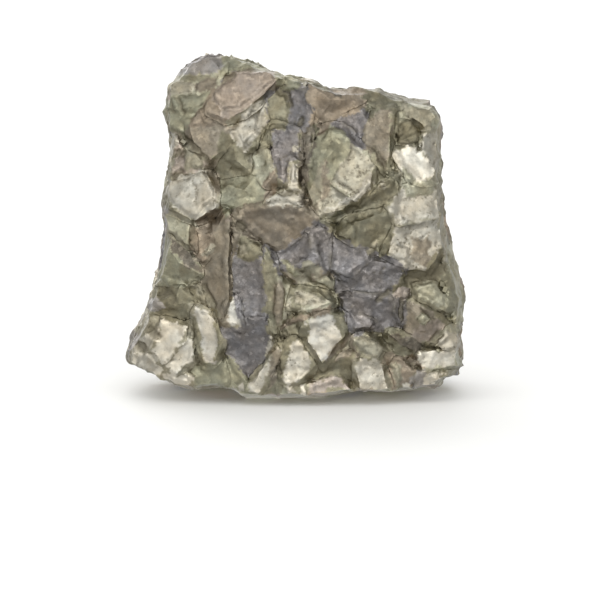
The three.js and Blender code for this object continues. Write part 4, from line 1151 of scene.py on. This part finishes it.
    rough = add("ShaderNodeMapRange", fresh, 0.0, 1.0, form["roughDull"], form["roughFresh"])
    rough = add("ShaderNodeMath", creviceShadeAndDullness, 0.3, rough, operation="MULTIPLY_ADD")
    uneven = add("ShaderNodeMath", noiseOf[0.8], 0.5, operation="SUBTRACT")
    rough = add("ShaderNodeMath", uneven, 0.3, rough, operation="MULTIPLY_ADD")
    looks = {"Base Color": base, "Metallic": form["metallic"], "Roughness": rough, "Normal": bump}
    add("ShaderNodeOutputMaterial", {"Surface": add("ShaderNodeBsdfPrincipled", looks)})
    return material


print("making the surfaces")
materials = {name: makeSurface(name, form) for name, form in surfaces.items()}
lump = bpy.data.objects.new("pyriteLump", lumpMesh)
scene.collection.objects.link(lump)
runTree(lump, reliefTree(list(surfaces)), materials)
print("lump", len(lump.data.vertices), "points", len(lump.data.polygons), "faces")


# Small crystals and chips that stick out of joints and granular faces in the hollows
smallCrystals = {
    "Per square centimetre": 45.0,
    "Smallest": 0.35,
    "Largest": 0.95,
    "Seed": 5.0,
}


def crystalTree(materialName):
    tree, given, result = newTree("smallCrystals", smallCrystals, [materialName])
    add = partial(addNode, tree)
    grain, valley, recess = (
        add("GeometryNodeInputNamedAttribute", label, data_type="FLOAT")
        for label in ("grain", "valley", "recess")
    )
    tone = add("GeometryNodeInputNamedAttribute", "tone", data_type="FLOAT_COLOR")
    seed = add("FunctionNodeFloatToInt", given["Seed"])

    # Thick in deep joints, none near the foot
    density = add("ShaderNodeMath", grain, 0.5, valley, operation="MULTIPLY_ADD")
    hollow = add("ShaderNodeMath", recess, 0.22, operation="SUBTRACT", use_clamp=True)
    up = add("ShaderNodeSeparateXYZ", add("GeometryNodeInputPosition"), output=2)
    clear = add("ShaderNodeMath", up, 1.5 * mm, operation="GREATER_THAN")
    perMetre = add("ShaderNodeMath", given["Per square centimetre"], 3e4, operation="MULTIPLY")
    for factor in (hollow, clear, perMetre):
        density = add("ShaderNodeMath", density, factor, operation="MULTIPLY")
    spots = {"Mesh": given["Geometry"], "Density": density, "Seed": seed}
    scattered = add("GeometryNodeDistributePointsOnFaces", spots)

    # Each a little lighter or darker than the ore that it sits on
    lightness = add("FunctionNodeRandomValue", {2: 0.75, 3: 1.3, "Seed": seed}, data_type="FLOAT", output=1)
    toned = add("ShaderNodeVectorMath", tone, {3: lightness}, operation="SCALE")
    scattered = add(
        "GeometryNodeStoreNamedAttribute",
        {"Geometry": scattered, "Name": "tone", "Value": toned},
        data_type="FLOAT_COLOR",
        domain="POINT",
    )
    turn = add("FunctionNodeRandomValue", {1: (6.28, 6.28, 6.28), "Seed": seed}, data_type="FLOAT_VECTOR")
    share = add("FunctionNodeRandomValue", {"Seed": seed}, data_type="FLOAT", output=1)
    share = add("ShaderNodeMath", share, 2.2, operation="POWER")  # most are small
    span = add("ShaderNodeMath", given["Largest"], given["Smallest"], operation="SUBTRACT")
    size = add("ShaderNodeMath", share, span, given["Smallest"], operation="MULTIPLY_ADD")
    size = add("ShaderNodeMath", size, mm, operation="MULTIPLY")
    shapes = {0: (0.75, 0.75, 0.75), 1: (1.3, 1.2, 1.0), "Seed": seed}
    stretch = add("FunctionNodeRandomValue", shapes, data_type="FLOAT_VECTOR")
    scale = add("ShaderNodeVectorMath", stretch, {3: size}, operation="SCALE")
    cube = add("GeometryNodeMeshCube", (1, 1, 1))
    cubes = {"Points": scattered, "Instance": cube, "Rotation": turn, "Scale": scale}
    real = add("GeometryNodeRealizeInstances", add("GeometryNodeInstanceOnPoints", cubes))
    finished = add("GeometryNodeSetMaterial", {"Geometry": real, "Material": given[materialName]})
    tree.links.new(finished, result.inputs[0])
    return tree


print("scattering small crystals")
crystals = bpy.data.objects.new("pyriteSmallCrystals", lump.data.copy())
scene.collection.objects.link(crystals)
runTree(crystals, crystalTree("pyrite, fractured"), materials)
print("small crystals", len(crystals.data.polygons), "faces")


# Floor, light and camera
studio = {
    "floor": "F4F4F2",
    "floorHalf": 4.0,  # metres
    "sky": 0.85,
    "key": {"strength": 1.0, "angle": 90, "turn": (62, 0, -24)},  # degrees: tip and swing
    "fill": {"strength": 1.0, "angle": 60, "turn": (78, 0, 16)},
    "back": {"strength": 1.1, "angle": 60, "turn": (-58, 0, 20)},
}


def buildStudio():
    half = studio["floorHalf"]
    square = [(-half, -half, 0), (half, -half, 0), (half, half, 0), (-half, half, 0)]
    floorMesh = bpy.data.meshes.new("floor")
    floorMesh.from_pydata(square, [], [(0, 1, 2, 3)])
    floor = bpy.data.objects.new("floor", floorMesh)
    scene.collection.objects.link(floor)
    floor.visible_glossy = False  # faces that look down mirror a bright studio, as over a light table
    paint = bpy.data.materials.new("matt white paint, rolled")
    paint.use_nodes = True
    shader = paint.node_tree.nodes["Principled BSDF"]
    shader.inputs["Base Color"].default_value = (*linear(studio["floor"]), 1)
    shader.inputs["Roughness"].default_value = 0.8
    floorMesh.materials.append(paint)
    for name in ("key", "fill", "back"):
        lamp = bpy.data.lights.new(name, "SUN")
        lamp.energy = studio[name]["strength"]
        lamp.angle = math.radians(studio[name]["angle"])
        light = bpy.data.objects.new(name, lamp)
        light.rotation_euler = Euler([math.radians(a) for a in studio[name]["turn"]])
        scene.collection.objects.link(light)
    world = bpy.data.worlds.new("studio")
    world.use_nodes = True
    world.node_tree.nodes["Background"].inputs["Color"].default_value = (1, 1, 1, 1)
    world.node_tree.nodes["Background"].inputs["Strength"].default_value = studio["sky"]
    scene.world = world
    scene.view_settings.view_transform = "Standard"


def buildCamera():
    tilt = math.radians(view["tilt"])
    across, up = view["middle"]
    depth = view["footDepth"] + up * math.sin(tilt)
    target = Vector((across + view["originAcross"], depth, up * math.cos(tilt)))
    _, sight = sightThrough(0, 0)
    lens = bpy.data.cameras.new("camera")
    lens.lens = lens.sensor_width * view["distance"] * view["pixelsPerMm"] / view["imageWidth"]
    camera = bpy.data.objects.new("camera", lens)
    camera.location = (target - sight * view["distance"]) * mm
    camera.rotation_euler = (math.pi / 2 - tilt, 0, 0)
    scene.collection.objects.link(camera)
    scene.camera = camera


buildStudio()
buildCamera()
for piece in (lump, crystals):
    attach(piece, "root")
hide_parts("pyrite")
